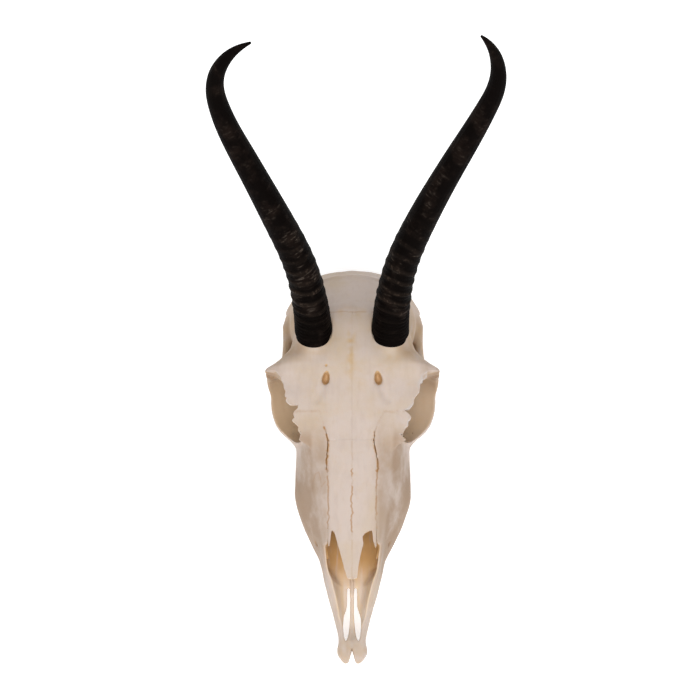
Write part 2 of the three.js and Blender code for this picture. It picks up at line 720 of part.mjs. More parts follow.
// Names each bone of the parted skull.
function bones() {
  const { body, nasals } = skullBody();
  const named = {};
  const grow = (outline, dx, dy) => outline.map(([a, b]) => [a + dx, b + dy]);
  let rest = body;
  let found;
  const cheekSides = { left: 1, right: -1 };
  Object.entries(cheekSides).forEach(([name, side]) => {
    const inside = planBlock(cheekParting, 18, cheekPartingTop).scale(side, 1, 1);
    const wider = cheekParting.map(([x, y], i) => [x + (i === 1 || i === 2 ? 1 : -suture), y + (i < 2 ? -suture : suture)]);
    const outside = planBlock(wider, 18 - suture, cheekPartingTop + suture).scale(side, 1, 1);
    [found, rest] = part(rest, solid(inside), solid(outside));
    named["cheekbone_" + name] = largest(found);
  });
  const back = sideBlock(braincaseParting, -90, 90);
  const backGrown = sideBlock(grow(braincaseParting, -suture, suture), -90, 90);
  [found, rest] = part(rest, solid(back), solid(backGrown));
  named.braincase = largest(found);
  const front = sideBlock(snoutParting, -90, 90);
  const frontGrown = sideBlock(grow(snoutParting, suture, 0), -90, 90);
  let premaxillae;
  [premaxillae, rest] = part(rest, solid(front), solid(frontGrown));
  const foreheadOutline = [...frontalParting, ...frontalParting.slice(1, -1).reverse().map(([x, y]) => [-x, y])];
  const forehead = planBlock(foreheadOutline, frontalBottom + suture, 240);
  const foreheadGrown = planBlock(grow(foreheadOutline, 0, -suture), frontalBottom, 240);
  let frontals;
  let cheeks;
  [frontals, cheeks] = part(rest, solid(forehead), solid(foreheadGrown));
  const pairs = { nasal: nasals, premaxilla: premaxillae, frontal: frontals, maxilla: cheeks };
  Object.entries(sides).forEach(([name, side]) => {
    const halfSpace = new THREE.BoxGeometry(200, 600, 600).translate(side * (100 + suture / 2), 0, 0);
    Object.entries(pairs).forEach(([bone, both]) => {
      named[bone + "_" + name] = largest(both.intersect(solid(halfSpace)));
    });
    named["horn_" + name] = hornSheath(name);
  });
  return named;
}

function meshOf(name, body) {
  const made = body.getMesh();
  const geometry = new THREE.BufferGeometry();
  geometry.setAttribute("position", new THREE.BufferAttribute(new Float32Array(made.vertProperties), 3));
  geometry.setIndex(new THREE.BufferAttribute(new Uint32Array(made.triVerts), 1));
  geometry.computeVertexNormals();
  const mesh = new THREE.Mesh(geometry, name.startsWith("horn") ? hornFinish : boneFinish);
  mesh.name = name;
  return mesh;
}

const skull = new THREE.Group();
Object.entries(bones()).forEach(([name, body]) => skull.add(meshOf(name, body)));
skull.position.set(-overallAside, -overallCentre, -floorLevel);

const model = new THREE.Group();
model.add(skull);
export default model;
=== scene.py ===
import bpy
import math
import numpy as np
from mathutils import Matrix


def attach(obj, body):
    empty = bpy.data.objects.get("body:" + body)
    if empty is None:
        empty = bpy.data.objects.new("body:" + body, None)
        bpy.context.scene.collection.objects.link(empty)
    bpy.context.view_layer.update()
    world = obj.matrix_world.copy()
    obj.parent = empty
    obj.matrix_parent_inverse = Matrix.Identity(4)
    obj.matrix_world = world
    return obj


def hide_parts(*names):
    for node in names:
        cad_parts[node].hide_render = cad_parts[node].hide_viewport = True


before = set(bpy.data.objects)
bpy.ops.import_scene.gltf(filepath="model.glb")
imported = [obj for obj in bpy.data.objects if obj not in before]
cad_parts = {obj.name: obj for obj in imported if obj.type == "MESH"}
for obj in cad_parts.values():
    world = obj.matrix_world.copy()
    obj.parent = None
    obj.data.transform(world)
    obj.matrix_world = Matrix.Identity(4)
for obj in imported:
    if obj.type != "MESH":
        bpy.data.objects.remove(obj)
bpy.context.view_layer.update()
print("frame loaded")

# bones are worked out in drawing millimetres: x to the animal's left, s behind the snout tip, z up
placing = {"aside": 1.66, "centre": 121.93, "floor": 5.0}
drawingOrigin = np.array([placing["aside"], placing["centre"], placing["floor"]])

# camera first: it looks down at the face, as high over the snout as the photograph does
viewing = {
    "target": (0.0, 147.0, 88.0),
    "elevation": 67.0,
    "distance": 1.8,
    "lens": 180.1,
    "shift": (-2 / 700, -4 / 700),
}


def toRow(points):
    # drawing millimetres to metres in the part's own frame
    return (np.asarray(points, float) - drawingOrigin) / 1000


def addCamera():
    data = bpy.data.cameras.new("photoCamera")
    camera = bpy.data.objects.new("photoCamera", data)
    bpy.context.scene.collection.objects.link(camera)
    rise = math.radians(viewing["elevation"])
    away = np.array([0, -math.cos(rise), math.sin(rise)]) * viewing["distance"]
    camera.location = toRow(viewing["target"]) + away
    camera.rotation_euler = (math.pi / 2 - rise, 0, 0)
    data.sensor_width = 36
    data.lens = viewing["lens"]
    data.shift_x, data.shift_y = viewing["shift"]
    data.clip_start = 0.05
    data.clip_end = 50
    bpy.context.scene.camera = camera


addCamera()

# sizes of each form in drawing millimetres; most tables give [s, size] pairs
snout = {
    "roof": [[0, 15.5], [3, 17.5], [20, 23], [33, 38.5], [40, 43.5], [55, 51], [75, 60.5], [100, 71],
             [132, 80]],
    "width": [[0, 5.6], [1.2, 7], [4, 8], [6, 8.1], [12, 7.1], [23, 9.3], [33, 12.1], [43, 14.8],
              [54, 17.3], [64, 22.1], [75, 27], [90, 30.8], [108, 30.2], [122, 27], [132, 22]],
    "widest": [[0, 13], [23, 15.5], [43, 20], [54, 23], [75, 25], [108, 27], [132, 40]],
    "shoulder": [[0, 3.6], [4, 6.2], [12, 6.2], [23, 7.8], [33, 10.4], [43, 13], [54, 15.4], [75, 18.8],
                 [90, 20.8], [108, 24.5], [132, 20]],
    "shoulderLift": 0.8,
    "nasals": [[0, 2.4], [12, 3.4], [23, 5], [33, 8], [43, 10.6], [54, 12.2], [64, 12.8], [90, 13.8],
               [108, 17], [132, 16]],
    "nasalDrop": [[0, 1.2], [33, 2], [64, 2.6], [132, 2.6]],
    "floor": [[0, 10.6], [12, 11], [30, 12.5], [45, 14.5], [60, 15.5], [112, 16.5], [122, 24], [132, 38]],
    "gum": 0.94,
    "palateVault": 1.6,
}
noseCavity = {
    "roofThickness": 2.0,
    "wall": 2.6,
    "widest": 16.5,
    "lowest": 8,
    "floorThickness": [[9.5, 8.5], [14, 6.4], [20, 4.6], [26, 4]],
    "edgeInset": 0.4,
    "floorDip": 0.5,
    "slantFrom": 50,
    "slantOver": 9,
    "bend": (0.33, 0.37),  # height of the side wall's bend, and how far the slant lifts it
    "foot": (0.8, 0.32),  # width of the floor, and how far the slant narrows it
}
noseOpening = {
    "rim": [[-6, 15], [4, 17.2], [12, 18.3], [22, 20.5], [32, 25], [42, 31.5], [50, 38.5], [57, 45],
            [60, 49]],
    "reach": [[0, 60.6], [12.2, 60.6], [12.8, 54.4], [20, 54.8]],
}
palateSlit = {
    "start": 10.9,
    "end": 40.4,
    "inner": [[11, 3.1], [15, 1.95], [22, 1.3], [27, 1.05], [42, 1.0]],
    "outer": [[11, 3.5], [14, 4.3], [19, 4.75], [24, 4.5], [31, 2.75], [42, 2.5]],
}
snoutTip = {
    "outer": [[-0.5, 3.1], [0.4, 4.1], [2, 5.5], [4, 6.9], [6, 7.9]],
    "inner": [[-0.5, 2.4], [0.6, 1.9], [2.5, 1.3], [5, 0.65], [7.2, 0]],
    "back": 7.2,
}
brow = {
    "roof": [[97, 68], [110, 75.2], [125, 81], [147, 87.5], [160, 88], [168, 86], [174, 80]],
    "edge": [[97, 15], [101, 22.5], [105, 28.8], [110, 31], [116, 32.8], [126, 36.6], [133, 41],
             [137, 44.8], [139.2, 45.2], [142, 41], [145, 36.6], [152, 31.5], [161, 29.5], [174, 24]],
    "edgeHeight": [[97, 62], [105, 66.5], [116, 72], [126, 74.6], [138, 74], [146, 77], [160, 76],
                   [174, 66]],
    "folds": (0.42, 0.76),  # shares of the half width where the fall steepens
    "fall": [[97, 0.12], [125, 0.12], [145, 0.06], [174, 0.1]],
    "outerFall": [[97, 0.5], [125, 0.5], [145, 0.3], [165, 0.34], [174, 0.5]],
    "edgeThickness": 2.3,
    "edgeInset": 1.2,
    "innerWall": [[97, 13], [120, 14], [140, 16], [174, 20]],
    "wallFold": (0.35, 0.3),  # share of the way out, and of the way down
    "base": [[97, 48], [110, 44], [174, 44]],
    "baseShare": 0.7,
}
orbit = {
    "centre": (34.9, 122.7, 58.9),
    "outward": (0.86, -0.43, 0.26),
    "along": 17.4,
    "upward": 16.6,
    "plate": 1.5,
    "rim": 2.4,
    "rimLeast": 0.3,
    "taper": 9,
    "depth": 27,
    "bottom": 0.34,
    "mouthFlare": 0.25,
}
cheekArch = {
    "path": [[23, 96, 30], [24.6, 105, 33], [26.6, 111, 36], [31, 116, 38.3], [37.9, 122, 40.5],
             [41, 131, 42.5], [40.6, 141, 43.5], [36.8, 151, 45.5], [35.2, 161, 46], [34.2, 170, 46],
             [33.4, 176, 46.4], [30, 182, 47]],
    "halfHeight": [[0, 8], [0.25, 6.5], [0.5, 5], [0.75, 4], [1, 5]],
    "halfThickness": [[0, 4], [0.2, 2.9], [0.5, 2.5], [0.75, 2.3], [1, 5]],
}
jawShelf = {"centre": (26, 166, 41), "radii": (9.6, 18, 6)}
eyeBar = {
    "path": [[43.2, 138.4, 72.4], [43.5, 139.2, 65], [43.3, 139.4, 56], [41.6, 139.6, 45]],
    "halfWidth": [[0, 1.5], [0.5, 2.0], [1, 4.5]],
    "web": [[30, 138.5, 66.5], [37, 140.2, 69], [43.2, 139.3, 70.5]],
    "halfThickness": [[0, 1.2], [0.5, 1.5], [1, 2.2]],
    "nick": ((46.2, 138.6, 45.2), (3.4, 3.4, 1.3)),
}
braincase = {
    "roof": [[132, 60], [140, 72], [150, 82], [160, 87], [168, 86], [178, 80], [188, 72], [196, 65],
             [201, 59.5], [204.5, 54], [205.6, 48]],
    "width": [[132, 11], [140, 15], [148, 21.5], [156, 28], [164, 32], [174, 33.4], [186, 33.4], [193, 31],
              [199, 27.5], [204.5, 20], [205.6, 13]],
    "widest": [[132, 48], [150, 58], [165, 57], [180, 52], [192, 46], [204.5, 40]],
    "floor": [[132, 35], [150, 31], [170, 27], [190, 23], [204.5, 24]],
    "crown": 0.66,
    "crownLift": 0.76,
    "flank": 0.86,
    "flankDrop": 0.5,
    "keel": 0.34,
}
skullBase = {
    "earBulb": ((18.5, 175, 21.5), (8, 10.5, 11.5)),
    "earHole": ((33, 178, 41), (9, 2.6, 2.4)),
    "neckJoint": ((11.4, 200.2, 30.5), (6.9, 7.5, 11.4)),
    "neckTilt": 0.35,
    "spineHole": {"height": 40, "halfWidth": 8.4, "halfHeight": 7.4, "from": 180},
    "footPath": [[24.5, 191, 38], [24.2, 190.5, 27], [23, 189, 15], [21.8, 187, 3]],
    "footLength": [[0, 7], [0.5, 4.6], [1, 2.6]],
    "footThickness": [[0, 6], [0.5, 2.6], [1, 1.7]],
}
neckRidges = {
    "across": 0.9,
    "acrossAt": (197.5, 0.011),  # its place on the midline, and how it bows forwards
    "acrossReach": 1.2,
    "upright": 0.25,
    "uprightReach": 3.0,
}
throat = {
    "outline": [[104, 22], [112, 15.5], [121, 17], [132, 23], [143, 31], [146, 48], [104, 48]],
    "inner": 7.6,
    "thickness": 2.4,
    "from": 108,
    "to": 137,
    "halfWidth": 7.6,
    "bottom": 8,
    "roof": 42,
}
horn = {
    "base": {1: (19.9, 155.5, 84), -1: (-19.9, 155.5, 84)},
    "seatTilt": 0.32,
    "seatLift": 1.8,
    "length": {1: 197, -1: 195.5},
    "spread": {
        1: [[0, -1], [0.15, 9], [0.35, 23], [0.6, 26.5], [0.75, 23], [0.87, -4.5], [1, -37]],
        -1: [[0, 1], [0.15, 10.5], [0.35, 24], [0.6, 24.5], [0.75, 14.5], [0.87, -20.5], [1, -60]],
    },
    "lean": [[0, 63], [0.35, 57], [0.7, 60], [1, 80]],
    "width": [[0, 19], [0.1, 18], [0.2, 16.8], [0.3, 15.9], [0.4, 14.9], [0.5, 13.7], [0.6, 12.6],
              [0.7, 11.2], [0.8, 9.4], [0.9, 6.5], [0.96, 3.8], [1, 1.3]],
    "depthShare": [[0, 1.2], [0.5, 1.12], [1, 1]],
    "flare": 1.6,
    "flareOver": 8,
    "stump": 9,
}

# lattice that the bone is worked out on, half of it first because the two sides mirror
lattice = {
    "cell": 0.55,
    "halfWidth": 47.9,
    "front": -2.2,
    "back": 209.5,
    "low": 3.3,
    "high": 93,
}
cell = lattice["cell"]
xs = np.arange(0, lattice["halfWidth"], cell)
ss = np.arange(lattice["front"], lattice["back"], cell)
zs = np.arange(lattice["low"], lattice["high"], cell)


def track(pairs):
    # monotone cubic through [place, size] pairs, level past both ends
    at, size = np.array(pairs, float).T
    rise = np.diff(size) / np.diff(at)
    slope = np.empty_like(size)
    slope[0], slope[-1] = rise[0], rise[-1]
    product = rise[:-1] * rise[1:]
    total = np.where(rise[:-1] + rise[1:] == 0, 1, rise[:-1] + rise[1:])
    slope[1:-1] = np.where(product > 0, 2 * product / total, 0)

    def value(place):
        held = np.clip(np.asarray(place, float), at[0], at[-1])
        i = np.clip(np.searchsorted(at, held, side="right") - 1, 0, len(at) - 2)
        span = at[i + 1] - at[i]
        u = (held - at[i]) / span
        lift = slope[i] * u * (1 - u) ** 2 - slope[i + 1] * u * u * (1 - u)
        return size[i] + (size[i + 1] - size[i]) * u * u * (3 - 2 * u) + span * lift

    return value


def wave(seed, pitch):
    # smooth random line: seeded heights a pitch apart, eased from one to the next; 300 keeps places positive
    heights = np.random.default_rng(seed).uniform(-1, 1, 1024)
    count = len(heights)

    def value(t):
        u = np.asarray(t, float) / pitch + 300
        i = np.floor(u).astype(int)
        f = u - i
        f = f * f * (3 - 2 * f)
        return heights[i % count] * (1 - f) + heights[(i + 1) % count] * f

    return value


def grain(points, pitch, seed):
    # smooth random solid: seeded heights on a cubic lattice, eased between its corners
    table = np.random.default_rng(seed).uniform(-1, 1, (32, 32, 32))
    u = points / pitch + 1000
    i = np.floor(u).astype(int)
    f = u - i
    f = f * f * (3 - 2 * f)
    total = np.zeros(len(points))
    for corner in range(8):
        step = np.array([corner & 1, corner >> 1 & 1, corner >> 2 & 1])
        weight = np.prod(np.where(step, f, 1 - f), axis=1)
        a, b, c = ((i + step) % len(table)).T
        total += weight * table[a, b, c]
    return total


def softMin(a, b, k):
    # the smaller of two distances, rounded where they are within k of each other
    near = np.maximum(k - np.abs(a - b), 0)
    return np.minimum(a, b) - near * near * (0.25 / k)


def softMax(a, b, k):
    return -softMin(-a, -b, k)


def window(axes, low, high, pad=3.0):
    # the block of the lattice between two corners, with its three axes ready to broadcast
    spans = []
    for axis, a, b in zip(axes, low, high):
        first = int(np.searchsorted(axis, a - pad))
        last = int(np.searchsorted(axis, b + pad)) + 1
        spans.append(slice(max(first, 0), min(last, len(axis))))
    x = axes[0][spans[0]][:, None, None]
    s = axes[1][spans[1]][None, :, None]
    z = axes[2][spans[2]][None, None, :]
    return tuple(spans), x, s, z


def addShape(field, axes, low, high, shape, soft):
    spans, x, s, z = window(axes, low, high)
    field[spans] = softMin(field[spans], shape(x, s, z), soft)


def cutShape(field, axes, low, high, shape, soft):
    spans, x, s, z = window(axes, low, high)
    field[spans] = softMax(field[spans], -shape(x, s, z), soft)


def bend(p, u):
    # centripetal curve through rows of points, but for their ends, at the shares u of each span
    gap = np.maximum(np.sqrt(np.linalg.norm(np.diff(p, axis=1), axis=2)), 1e-3)[:, :, None]
    d0, d1, d2 = gap[:, :-2], gap[:, 1:-1], gap[:, 2:]
    p0, p1, p2, p3 = p[:, :-3], p[:, 1:-2], p[:, 2:-1], p[:, 3:]
    t1 = ((p1 - p0) / d0 - (p2 - p0) / (d0 + d1) + (p2 - p1) / d1) * d1
    t2 = ((p2 - p1) / d1 - (p3 - p1) / (d1 + d2) + (p3 - p2) / d2) * d1
    u = u[None, None, :, None]
    p1, p2, t1, t2 = (a[:, :, None] for a in (p1, p2, t1, t2))
    curve = p1 + t1 * u + (3 * (p2 - p1) - 2 * t1 - t2) * u ** 2 + (2 * (p1 - p2) + t1 + t2) * u ** 3
    return curve.reshape(len(p), -1, p.shape[2])


def roundHalf(corners, steps=6):
    # each half outline rounded from the roof to the floor, as its mirrored whole would bend
    flip = np.array([-1.0, 1.0])
    p = np.concatenate([corners[:, 1:2] * flip, corners, corners[:, -2:-1] * flip], axis=1)
    curve = np.concatenate([bend(p, np.arange(steps) / steps), corners[:, -1:]], axis=1)
    curve[:, :, 0] = np.maximum(curve[:, :, 0], 0)
    return curve


def flatDistance(outline, px, py, closed=False):
    # signed distance in a plane to an outline of corners, negative inside by the count of crossings
    if closed:
        outline = np.vstack([outline, outline[:1]])
    ax, ay = outline[:-1].T
    dx, dy = np.diff(outline, axis=0).T
    px, py = px[..., None], py[..., None]
    t = np.clip(((px - ax) * dx + (py - ay) * dy) / np.maximum(dx * dx + dy * dy, 1e-9), 0, 1)
    away = np.sqrt(np.min((px - ax - t * dx) ** 2 + (py - ay - t * dy) ** 2, axis=-1))
    across = ax + dx * (py - ay) / np.where(np.abs(dy) < 1e-9, 1e-9, dy)
    crossed = ((ay > py) != (ay + dy > py)) & (px < across)
    return np.where(np.sum(crossed, axis=-1) % 2 == 1, -away, away)


def loftField(stations, corners, spans):
    # distance to the outline at each station, blended along s and evened out by its slope there
    px, pz = np.meshgrid(xs[spans[0]].astype(np.float32), zs[spans[2]].astype(np.float32), indexing="ij")
    outlines = roundHalf(corners).astype(np.float32)
    layers = np.stack([flatDistance(outline, px, pz) for outline in outlines]).astype(np.float32)
    s = ss[spans[1]]
    place = np.clip((s - stations[0]) / (stations[1] - stations[0]), 0, len(stations) - 1.001)
    i = place.astype(int)
    w = (place - i).astype(np.float32)[:, None, None]
    field = (layers[i] * (1 - w) + layers[i + 1] * w).transpose(1, 0, 2)
    field = field / np.sqrt(1 + np.gradient(field, cell, axis=1) ** 2)
    ends = np.maximum(stations[0] - s, s - stations[-1])[None, :, None]
    return softMax(field, ends, 0.8).astype(np.float32)


def ellipsoid(centre, radii, tilt=0.0):
    # rounded lump, turned about the skull's length by tilt
    def shape(x, s, z):
        dx, ds, dz = x - centre[0], s - centre[1], z - centre[2]
        a = dx * math.cos(tilt) - dz * math.sin(tilt)
        b = dx * math.sin(tilt) + dz * math.cos(tilt)
        k0 = np.sqrt((a / radii[0]) ** 2 + (ds / radii[1]) ** 2 + (b / radii[2]) ** 2)
        k1 = np.sqrt((a / radii[0] ** 2) ** 2 + (ds / radii[1] ** 2) ** 2 + (b / radii[2] ** 2) ** 2)
        return k0 * (k0 - 1) / np.maximum(k1, 1e-6)

    return shape


def smoothPath(points, count):
    # rounded curve through the points, cut into equal lengths
    p = np.array(points, float)
    p = np.vstack([2 * p[0] - p[1], p, 2 * p[-1] - p[-2]])
    dense = np.vstack([bend(p[None], np.linspace(0, 1, 24, endpoint=False))[0], p[-2]])
    length = np.concatenate([[0], np.cumsum(np.linalg.norm(np.diff(dense, axis=0), axis=1))])
    even = np.linspace(0, length[-1], count)
    return np.stack([np.interp(even, length, dense[:, i]) for i in range(3)], axis=1)


def onto(d, v):
    # how far an offset reaches along a direction
    return d[0] * v[0] + d[1] * v[1] + d[2] * v[2]


def tube(path, across, upright, sideways, count=26):
    # oval section carried along a path: nearest stretch first, then the oval's own distance
    line = smoothPath(path, count)
    forward = np.gradient(line, axis=0)
    forward /= np.linalg.norm(forward, axis=1, keepdims=True)
    lateral = np.array(sideways, float) - (forward @ np.array(sideways, float))[:, None] * forward
    lateral /= np.linalg.norm(lateral, axis=1, keepdims=True)
    normal = np.cross(forward, lateral)
    share = np.linspace(0, 1, count)
    first, second = across(share), upright(share)

    def shape(x, s, z):
        best = np.float32(60)
        for i in range(count - 1):
            step = line[i + 1] - line[i]
            d = (x - line[i, 0], s - line[i, 1], z - line[i, 2])
            t = np.clip(onto(d, step) / (step @ step), 0, 1).astype(np.float32)
            d = [d[k] - t * step[k] for k in range(3)]
            a, b, c = (onto(d, v[i]) for v in (lateral, normal, forward))
            ra = first[i] + (first[i + 1] - first[i]) * t
            rb = second[i] + (second[i + 1] - second[i]) * t
            least = np.minimum(ra, rb)
            away = (np.sqrt((a / ra) ** 2 + (b / rb) ** 2 + (c / least) ** 2) - 1) * least
            best = np.minimum(best, away.astype(np.float32))
        return best

    return shape


def flat(level):
    return lambda share: np.full_like(np.asarray(share, float), level)


snoutRoof = track(snout["roof"])
snoutWidth = track(snout["width"])
snoutFloor = track(snout["floor"])
nasalHalf = track(snout["nasals"])
nasalDrop = track(snout["nasalDrop"])
browRoof = track(brow["roof"])
browEdge = track(brow["edge"])
browEdgeHeight = track(brow["edgeHeight"])
browFall = track(brow["fall"])
browOuterFall = track(brow["outerFall"])


def snoutCorners(s):
    # roof, nasal edge, shoulder, cheek, widest, gum and palate of each section
    roof, widest, width, floor = snoutRoof(s), track(snout["widest"])(s), snoutWidth(s), snoutFloor(s)
    shoulder, drop = track(snout["shoulder"])(s), nasalDrop(s)
    lift = widest + snout["shoulderLift"] * (roof - widest)
    gum, vault = width * snout["gum"], floor + snout["palateVault"]
    nothing = np.zeros_like(s)
    places = [(nothing, roof), (nasalHalf(s), roof - drop), (shoulder, lift - drop),
              ((shoulder + 2 * width) / 3, (2 * widest + lift) / 3), (width, widest), (gum, floor),
              (gum * 0.5, vault), (nothing, vault)]
    return np.array(places).transpose(2, 0, 1)


def noseWall(s):
    # half the width of the air passage
    return np.minimum(snoutWidth(s) - noseCavity["wall"], noseCavity["widest"])


def noseCorners(s):
    # air passage: roof, edge under the nasals, side wall, floor corner and floor; slanting sides in front
    width = noseWall(s)
    floor = snoutFloor(s) + track(noseCavity["floorThickness"])(s)
    roof = np.maximum(snoutRoof(s) - noseCavity["roofThickness"], floor + noseCavity["lowest"])
    edge = np.minimum(nasalHalf(s), width) - noseCavity["edgeInset"]
    nothing = np.zeros_like(s)
    slant = np.clip((noseCavity["slantFrom"] - s) / noseCavity["slantOver"], 0, 1)
    height = floor + (roof - floor) * (noseCavity["bend"][0] + noseCavity["bend"][1] * slant)
    foot = width * (noseCavity["foot"][0] - noseCavity["foot"][1] * slant)
    places = [(nothing, roof), (edge, roof - nasalDrop(s)), (width, height), (foot, floor),
              (nothing, floor - noseCavity["floorDip"])]
    return np.array(places).transpose(2, 0, 1)


def browTop(x, s):
    # height of the forehead's roof at any place, falling to its edge by the same shares as the sections
    top, height = browRoof(s), browEdgeHeight(s)
    fall, outer = browFall(s), browOuterFall(s)
    near, far = brow["folds"]
    out = np.abs(x) / browEdge(s)
    share = fall * np.clip(out / near, 0, 1) + (outer - fall) * np.clip((out - near) / (far - near), 0, 1)
    share = share + (1 - outer) * np.clip((out - far) / (1 - far), 0, 1)
    return top - share * (top - height)


def browCorners(s):
    # forehead: roof, its fall to the ragged edge, the thin edge, then the wall between the eye sockets
    top, rim, height = browRoof(s), browEdge(s), browEdgeHeight(s)
    inner, low = track(brow["innerWall"])(s), track(brow["base"])(s)
    near, far = brow["folds"]
    out, down = brow["wallFold"]
    nothing = np.zeros_like(s)
    places = [(nothing, top), (rim * near, top - browFall(s) * (top - height)),
              (rim * far, top - browOuterFall(s) * (top - height)), (rim, height),
              (rim - brow["edgeInset"], height - brow["edgeThickness"]),
              (inner + out * (rim - inner), height - down * (height - low)), (inner, (height + 2 * low) / 3),
              (inner * brow["baseShare"], low), (nothing, low)]
    return np.array(places).transpose(2, 0, 1)


def braincaseCorners(s):
    # braincase: roof, crown, widest, flank, keel and floor
    top, half, middle, low = (track(braincase[key])(s) for key in ("roof", "width", "widest", "floor"))
    nothing = np.zeros_like(s)
    places = [(nothing, top), (half * braincase["crown"], middle + braincase["crownLift"] * (top - middle)),
              (half, middle), (half * braincase["flank"], middle - braincase["flankDrop"] * (middle - low)),
              (half * braincase["keel"], low), (nothing, low)]
    return np.array(places).transpose(2, 0, 1)


def orbitShape(margin, low, high, soft):
    # cone along the eye socket's axis: its oval mouth narrows to its bottom, its margin is thin at the mouth
    outward = np.array(orbit["outward"]) / np.linalg.norm(orbit["outward"])
    upward = np.array([0, 0, 1.0]) - outward[2] * outward
    upward /= np.linalg.norm(upward)
    backward = -np.cross(upward, outward)

    def shape(x, s, z):
        d = (x - orbit["centre"][0], s - orbit["centre"][1], z - orbit["centre"][2])
        reach, a, b = (onto(d, v) for v in (outward, backward, upward))
        share = reach / orbit["depth"]
        narrow = 1 - (1 - orbit["bottom"]) * share * share
        scale = np.where(reach > 0, 1 + orbit["mouthFlare"] * share, narrow)
        wider = margin * np.clip(orbit["rimLeast"] - reach / orbit["taper"], orbit["rimLeast"], 1)
        along = np.maximum(orbit["along"] * scale + wider, 1)
        tall = np.maximum(orbit["upward"] * scale + wider, 1)
        away = (np.sqrt((a / along) ** 2 + (b / tall) ** 2) - 1) * np.minimum(along, tall)
        return softMax(away, np.maximum(low - reach, reach - high), soft)

    return shape


orbitShell = orbitShape(orbit["rim"], -orbit["depth"], 0, 1.2)
orbitCone = orbitShape(0, -orbit["depth"] * 0.97, 14, 5.0)


def orbitWall(x, s, z):
    # bony cup of the eye socket, kept under the forehead's roof
    return softMax(orbitShell(x, s, z), z - browTop(x, s) + 0.3, 0.6)


def orbitHollow(x, s, z):
    # what the eye filled: the cone, up to a thin plate under the roof
    beyond = 30 * (np.abs(x) > browEdge(s) + 0.3)
    return softMax(orbitCone(x, s, z), z - browTop(x, s) - beyond + orbit["plate"], 0.6)


halfAxes = (xs, ss, zs)
bone = np.full((len(xs), len(ss), len(zs)), 40, np.float32)

# snout with its air passage, then the forehead grown into it
spans = window(halfAxes, (0, 0, 5), (34, 132, 84))[0]
stations = np.arange(0, 132.1, 1.0)
snoutField = loftField(stations, snoutCorners(stations), spans)
stations = np.arange(9.5, 104.1, 0.9)
passage = loftField(stations, noseCorners(stations), spans)
bone[spans] = np.minimum(bone[spans], softMax(snoutField, -passage, 0.6))
air = np.full_like(bone, 40)
air[spans] = passage
spans = window(halfAxes, (0, 97, 40), (46, 174, 90))[0]
stations = np.arange(97, 174.1, 1.0)
bone[spans] = softMin(bone[spans], loftField(stations, browCorners(stations), spans), 1.6)
nasalBone = bone.copy()
print("snout and forehead worked out")


def openingShape(x, s, z):
    # everything above the rim of the nose opening, seen from the side
    rim = track(noseOpening["rim"])
    slope = rim(s + 0.5) - rim(s - 0.5)
    reach = track(noseOpening["reach"])
    turn = (reach(x + 0.2) - reach(x - 0.2)) / 0.4
    return np.maximum((rim(s) - z) / np.sqrt(1 + slope ** 2), (s - reach(x)) / np.sqrt(1 + turn ** 2))


def slitShape(x, s, z):
    # long slit beside the midline strip, between an inner and an outer edge
    across = np.maximum(track(palateSlit["inner"])(s) - x, x - track(palateSlit["outer"])(s))
    ends = np.maximum(palateSlit["start"] - s, s - palateSlit["end"])
    return softMax(np.maximum(across, z - 24), ends, 1.0)


def knobShape(x, s, z):
    # what lies outside the two pointed knobs at the tip of the snout, seen from above
    outside = np.maximum(x - track(snoutTip["outer"])(s), track(snoutTip["inner"])(s) - x)
    outside = softMax(outside, -0.1 - s, 1.6)
    return np.maximum(-outside, s - snoutTip["back"]) + 0 * z


def throatPlateShape(x, s, z):
    side, up = np.meshgrid(s[0, :, 0], z[0, 0, :], indexing="ij")
    plan = flatDistance(np.array(throat["outline"], float), side, up, True)[None]
    slab = np.abs(x - throat["inner"] - throat["thickness"] / 2) - throat["thickness"] / 2
    return softMax(plan, slab + 0 * plan, 0.8)


def throatHollowShape(x, s, z):
    middle = (throat["bottom"] + throat["roof"]) / 2
    tall = (throat["roof"] - throat["bottom"]) / 2
    away = (np.sqrt((x / throat["halfWidth"]) ** 2 + ((z - middle) / tall) ** 2) - 1) * throat["halfWidth"]
    return softMax(away + 0 * s, np.maximum(throat["from"] - s, s - throat["to"]), 2.0)


def spineShape(x, s, z):
    hole = skullBase["spineHole"]
    away = np.sqrt((x / hole["halfWidth"]) ** 2 + ((z - hole["height"]) / hole["halfHeight"]) ** 2) - 1
    return softMax(away * hole["halfHeight"] + 0 * s, hole["from"] - s, 3.0)


vomer = {
    "halfThickness": 0.6,
    "from": 36,
    "to": 104,
    "foot": 3,
    "height": 4,
    "rise": (34, 40, 7),  # start, length and height of its climb
}
scroll = {
    "from": 52,
    "to": 104,
    "height": 13,
    "climb": (60, 0.22),  # the place of that height, and the slope there
    "inset": 1.5,
    "half": (1.3, 1.7),
    "swell": (52, 14, 2.6),  # start, length and size of its swelling
    "least": 0.2,
}


def vomerShape(x, s, z):
    # thin upright plate along the floor of the nose, higher behind
    start, over, rise = vomer["rise"]
    top = snoutFloor(s) + vomer["height"] + rise * np.clip((s - start) / over, 0, 1)
    ends = np.maximum(vomer["from"] - s, s - vomer["to"])
    upright = np.maximum(np.maximum(z - top, snoutFloor(s) + vomer["foot"] - z), ends)
    return softMax(np.abs(x) - vomer["halfThickness"], upright, 0.8)


def scrollShape(x, s, z):
    # rounded scroll bone on the side wall of the nose
    level, climb = scroll["climb"]
    start, over, most = scroll["swell"]
    line = snoutFloor(s) + scroll["height"] + climb * (s - level)
    swell = most * np.clip((s - start) / over, 0, 1) + scroll["least"]
    wall = noseWall(s) - scroll["inset"]
    away = np.sqrt(((x - wall) / scroll["half"][0]) ** 2 + ((z - line) / scroll["half"][1]) ** 2) - swell
    return softMax(away, np.maximum(scroll["from"] - s, s - scroll["to"]), 1.5)


